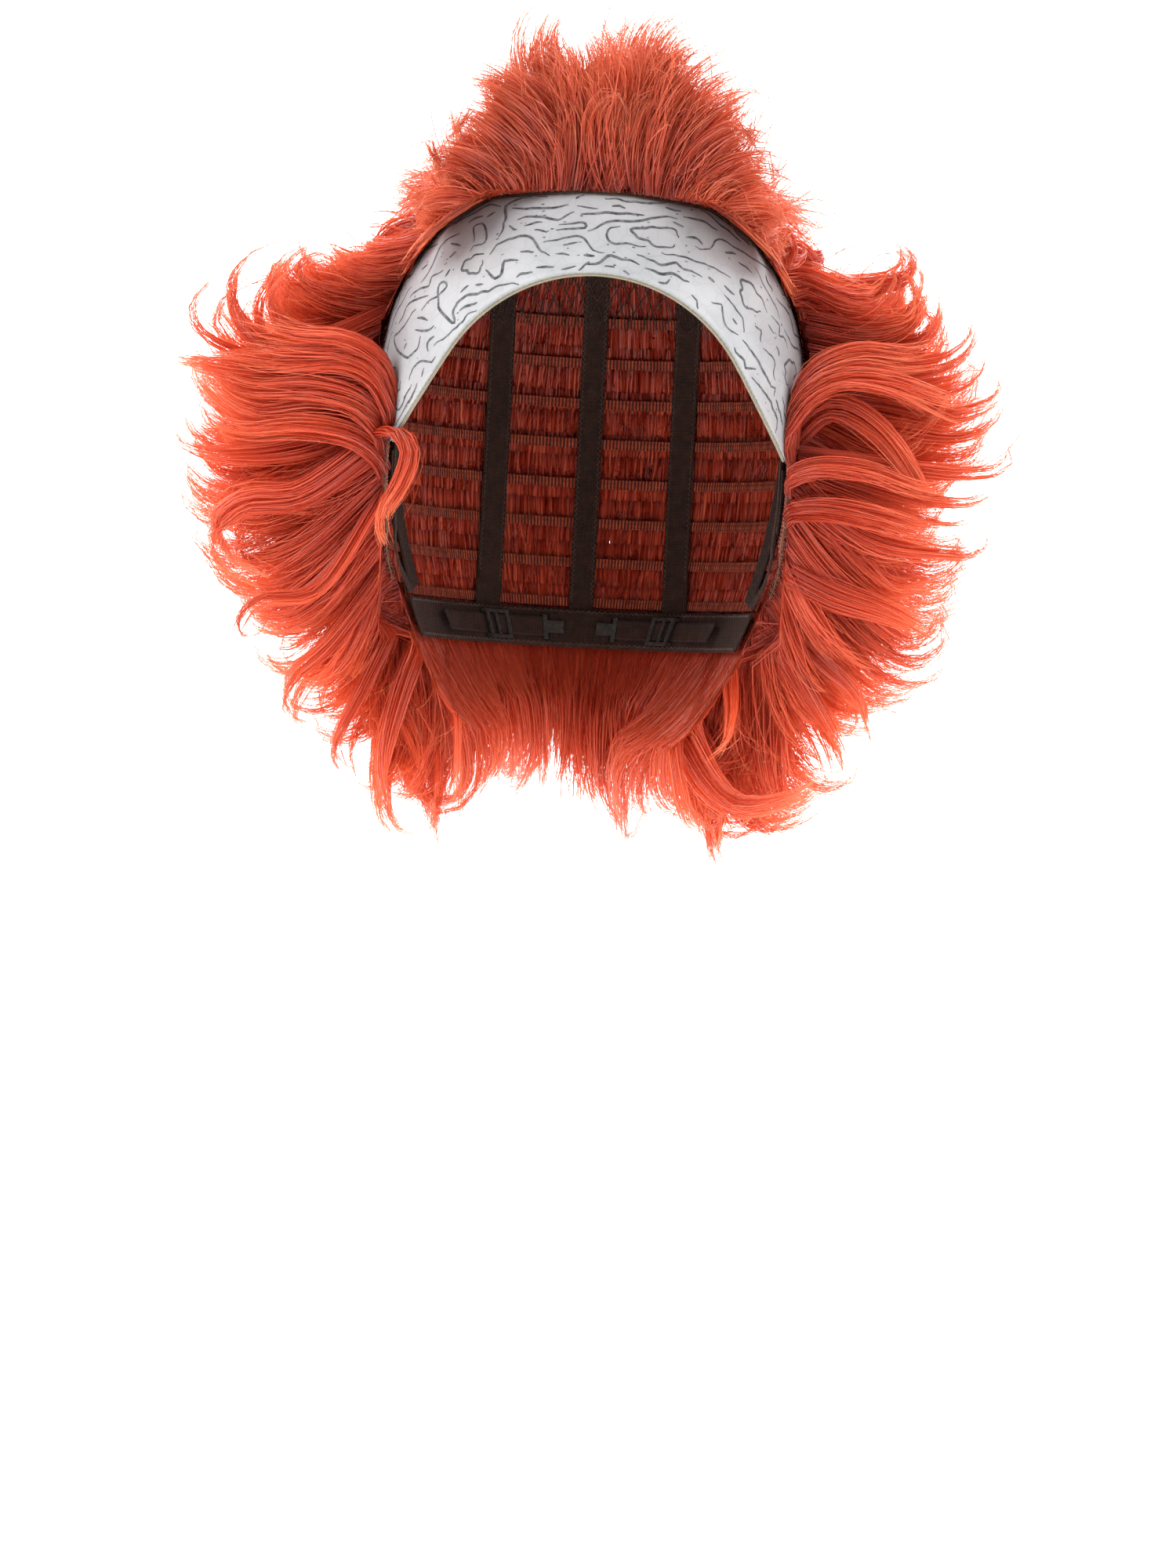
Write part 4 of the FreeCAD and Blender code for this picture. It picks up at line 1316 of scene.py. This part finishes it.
def make_crest():
    # The crest's locks take the fibre darkened as painted shade.
    mane = Mane("crest_locks", "crest_hair", material=SHADED_CREST_FIBRE)
    tufts = Mane("crest_tufts", material=SHADED_CREST_FIBRE)
    back = Mane("crest_back_locks", material=SHADED_CREST_FIBRE)
    rng = np.random.default_rng(21)
    for length, depth, behind, count in CREST_LAYERS:
        for k in range(count):
            share = in_row(rng, k, count, 0.35)
            reach = 2 * share - 1
            x_root = 66 * np.sign(reach) * abs(reach) ** 1.15
            z_root = HAIRLINE_TOP + 1.5 - 0.0045 * x_root ** 2 + 0.5 * behind
            root = on_head([x_root, -70 + behind, z_root], HAIR)
            x_tip, z_tip = along_outline(CREST_OUTLINE, share + rng.normal(0, 0.02))
            target = np.array([x_tip, depth + rng.uniform(-8, 8) + 10 * abs(reach), z_tip])
            target = toward(root, target, length, rng.uniform(0.82, 1.02))
            bend = rng.uniform(0.4, 1.5) * (0.35 + 1.1 * abs(reach))
            fountain(mane, rng, root, target, np.sign(reach) + 0.5 * rng.normal(), bend, 100,
                     rng.uniform(12, 19), curl=rng.choice([0.0, rng.uniform(0.4, 2.2)]),
                     taper=rng.uniform(-0.5, 0.0), ragged=0.5, spread=2.5, clumps=8, gather=0.4, wave=1.3,
                     fuzz=0.14)
    for root, tip, side, bend, width, curl in CREST_TUFTS:
        fountain(tufts, rng, on_head(root, HAIR + 1), tip, side, bend, 12 * width, width, curl=curl,
                 taper=-0.25, ragged=0.35, spread=2.0, clumps=6, gather=0.5, wave=1.0, fuzz=0.14)
    for _ in range(260):
        share = rng.uniform(0.03, 0.97)
        x_root = 130 * (share - 0.5)
        root = on_head([x_root, -70 + rng.uniform(0, 8), 77 - 0.0045 * x_root ** 2], HAIR)
        x_tip, z_tip = along_outline(CREST_OUTLINE, np.clip(share + rng.normal(0, 0.08), 0, 1))
        target = np.array([x_tip, rng.uniform(-94, -60), z_tip])
        target = toward(root, target, rng.uniform(0.5, 0.99))
        fountain(tufts, rng, root, target, rng.normal(), rng.uniform(0.3, 1.8), 2, 1.5, clumps=1,
                 curl=rng.uniform(0, 3.0), ragged=0.1, wave=1.0, strand=FINE)
    for row in range(8):
        y_row = -56 + 11 * row
        height = 1 - 0.075 * row
        for k in range(11):
            share = in_row(rng, k, 11, 0.45)
            y_root = y_row + rng.uniform(-6, 6)
            x_root = -62 + 124 * share
            root = on_head([x_root, y_root, 95 - 0.008 * x_root ** 2], HAIR)
            x_tip, z_tip = along_outline(CREST_OUTLINE, 0.05 + 0.9 * share + rng.normal(0, 0.02))
            target = np.array([0.95 * x_tip, y_root + rng.uniform(-8, 16) + 3.5 * row, z_tip])
            target = toward(root, target, height, rng.uniform(0.8, 1.0))
            fountain(back, rng, root, target, np.sign(share - 0.5), rng.uniform(0.4, 1.2), 90,
                     rng.uniform(15, 24), curl=rng.uniform(0, 1.8), taper=0.05, ragged=0.4, spread=4.0,
                     clumps=5, wave=1.4, thick=14, fuzz=0.12)
    for mane in (mane, tufts, back):
        mane.make()


def make_crown():
    mane = Mane("crown_locks", "crown_hair")
    lying = Mane("crown_lying_locks")
    rng = np.random.default_rng(31)
    for row in range(9):
        y_root = -62 + 15 * row
        for k in range(11):
            x_root = -60 + 120 * (k + 0.5 + rng.uniform(-0.3, 0.3)) / 11
            start = on_head([x_root, y_root, 104 - 0.004 * y_root ** 2 - 0.008 * x_root ** 2], HAIR)
            points = [on_head(start + np.array([0.004 * x_root, 1.0, 0.0]) * step, HAIR + 1.5 + 0.12 * step)
                      for step in (0, 10, 22, 36)]
            lying.lock(through(points), 34, 17, 3, (1, 0, 0), taper=-0.1, wave=0.7, clumps=8, gather=0.2,
                       strand=0.9)
    for row in range(9):
        for k in range(9):
            y_root = -16 + 12 * row + rng.uniform(-5, 5)
            x_root = -64 + 128 * (k + 0.5 + rng.uniform(-0.4, 0.4)) / 9
            root = on_head([x_root, y_root, 92 - 6.5 * row], HAIR)
            ahead = unit([0.9 * x_root / 60, 1.2, -0.1 - 0.1 * row])
            for lift, length in ((0.12, 52), (0.38, 62)):
                target = root + ahead * length * rng.uniform(0.8, 1.15) + head_normal(root) * lift * length
                target[0] = np.clip(target[0], -88, 88)
                guide = swoop(root, target, head_normal(root) + (0, 0, 0.6), rng.uniform(0.5, 1.5), 1.9,
                              rng.uniform(0, 1.6))
                mane.lock(guide, 50, rng.uniform(18, 26), 10, (1, 0, 0.1 * rng.normal()), taper=0.1, wave=1.2,
                          clumps=5, spread=3.5, fuzz=0.1)
    mane.make()
    lying.make()


# The temple lock's way down as (x, how far behind its middle, z).
TEMPLE_WAY = ((-83, 16, -20), (-79, 7, -19), (-73, 1, -20), (-69, 0, -25), (-69, 0, -31), (-72, 1, -40),
              (-77, 1, -49), (-78, 1, -56), (-76, 0, -62), (-74, 0, -66))


def make_temple_lock():
    mane = Mane("temple_lock_strands", "left_temple_lock")
    low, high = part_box("left_temple_lock")
    y = (low[1] + high[1]) / 2 / MM
    guide = through([(x, y + behind, z) for x, behind, z in TEMPLE_WAY])
    mane.lock(guide, 120, 6.2, 3.2, (1, 0, 0), taper=-0.05, belly=0.3, ragged=0.06, wave=0.7, fuzz=0.04,
              clumps=3, gather=0.4, keep_clear=False, strand=0.5)
    mane.make()


# ---------------------------------------------------------------- stage
CAMERA_AWAY = 2200.0
FRAME_WIDE = 457.5
ROLL = math.radians(3.0)
AIM = (6.7, -151.5)
FLOOR = -450.0


def make_stage():
    """A pale floor that sweeps up into a wall behind the wig."""
    bend = 1200.0
    back = 3800.0
    turn = np.linspace(0, math.pi / 2, 16)
    profile = [(-5000.0, FLOOR), (0.0, FLOOR)]
    profile += [(back - bend + bend * math.sin(a), FLOOR + bend - bend * math.cos(a)) for a in turn]
    profile.append((back, 4500.0))
    width = np.array([-6000.0, 6000.0])
    points = np.array([[(x, y, z) for x in width] for y, z in profile])
    shade = Shade("pale_sweep", (0.90, 0.90, 0.895), 0.9, 0.1)
    tone = shade.noise(shade.place("Object"), 2.0, 2.0)
    shade.colour(shade.ramp(tone, [(0.3, (0.895, 0.895, 0.89)), (0.7, (0.915, 0.915, 0.91))]))
    sweep = add_mesh("studio_sweep", points, grid_quads(len(profile), 2), material=shade.material, body=None)


def add_light(name, place, target, size, power):
    lamp = bpy.data.lights.new(name, "AREA")
    lamp.shape = "RECTANGLE"
    lamp.size = size[0]
    lamp.size_y = size[1]
    lamp.energy = power
    holder = bpy.data.objects.new(name, lamp)
    bpy.context.scene.collection.objects.link(holder)
    holder.location = place
    holder.rotation_euler = (Vector(target) - Vector(place)).to_track_quat("-Z", "Y").to_euler()


def make_lights():
    world = bpy.data.worlds.new("soft_white")
    world.use_nodes = True
    background = world.node_tree.nodes["Background"]
    background.inputs["Color"].default_value = (1, 1, 1, 1)
    background.inputs["Strength"].default_value = 0.41
    bpy.context.scene.world = world
    add_light("key", (-1.4, -1.5, 1.2), (0, 0, -0.02), (0.9, 0.9), 26)
    add_light("fill", (1.4, -1.5, 0.5), (0, 0, -0.02), (1.1, 1.3), 11)
    add_light("top", (0.0, 0.3, 1.5), (0, 0, 0), (1.0, 0.8), 4)
    for side, label in SIDES:
        add_light(f"rim_{label}", (1.1 * side, 0.9, 0.3), (0, 0, 0), (0.5, 1.4), 14)
        add_light(f"side_{label}", (1.7 * side, -0.6, 0.9), (0, 0, -0.02), (0.9, 1.2), 27)
    add_light("wall", (0.0, 1.7, 2.8), (0, 3.8, -0.3), (4.5, 1.2), 330)


def make_camera():
    data = bpy.data.cameras.new("camera")
    data.sensor_fit = "HORIZONTAL"
    data.sensor_width = 36.0
    data.lens = 36.0 * CAMERA_AWAY / FRAME_WIDE
    camera = bpy.data.objects.new("camera", data)
    bpy.context.scene.collection.objects.link(camera)
    stand = Matrix.Translation(Vector((AIM[0], -CAMERA_AWAY - 40.0, AIM[1])) * MM)
    camera.matrix_world = stand @ Matrix.Rotation(math.pi / 2, 4, "X") @ Matrix.Rotation(ROLL, 4, "Z")
    bpy.context.scene.camera = camera
    bpy.context.scene.view_settings.view_transform = "Standard"


# ---------------------------------------------------------------- build
make_camera()
make_stage()
make_lights()
make_band()
make_crackle()
make_binding()
dress("forehead_lining", LINING_CLOTH)
dress("band_seam_tape", LINING_CLOTH)
dress("hairline_weft", CROWN_HEADS)
for _, label in SIDES:
    dress(f"{label}_hook_loop", RIBBON_CLOTH)
    dress(f"{label}_strap_hook", NYLON)
    dress(f"{label}_slider", NYLON)
make_net()
make_ribbons()
make_wefts()
make_straps()
make_cap_stitches()
make_thread_loops()
make_under_layer()
make_skirt()
make_crest()
make_crown()
make_temple_lock()
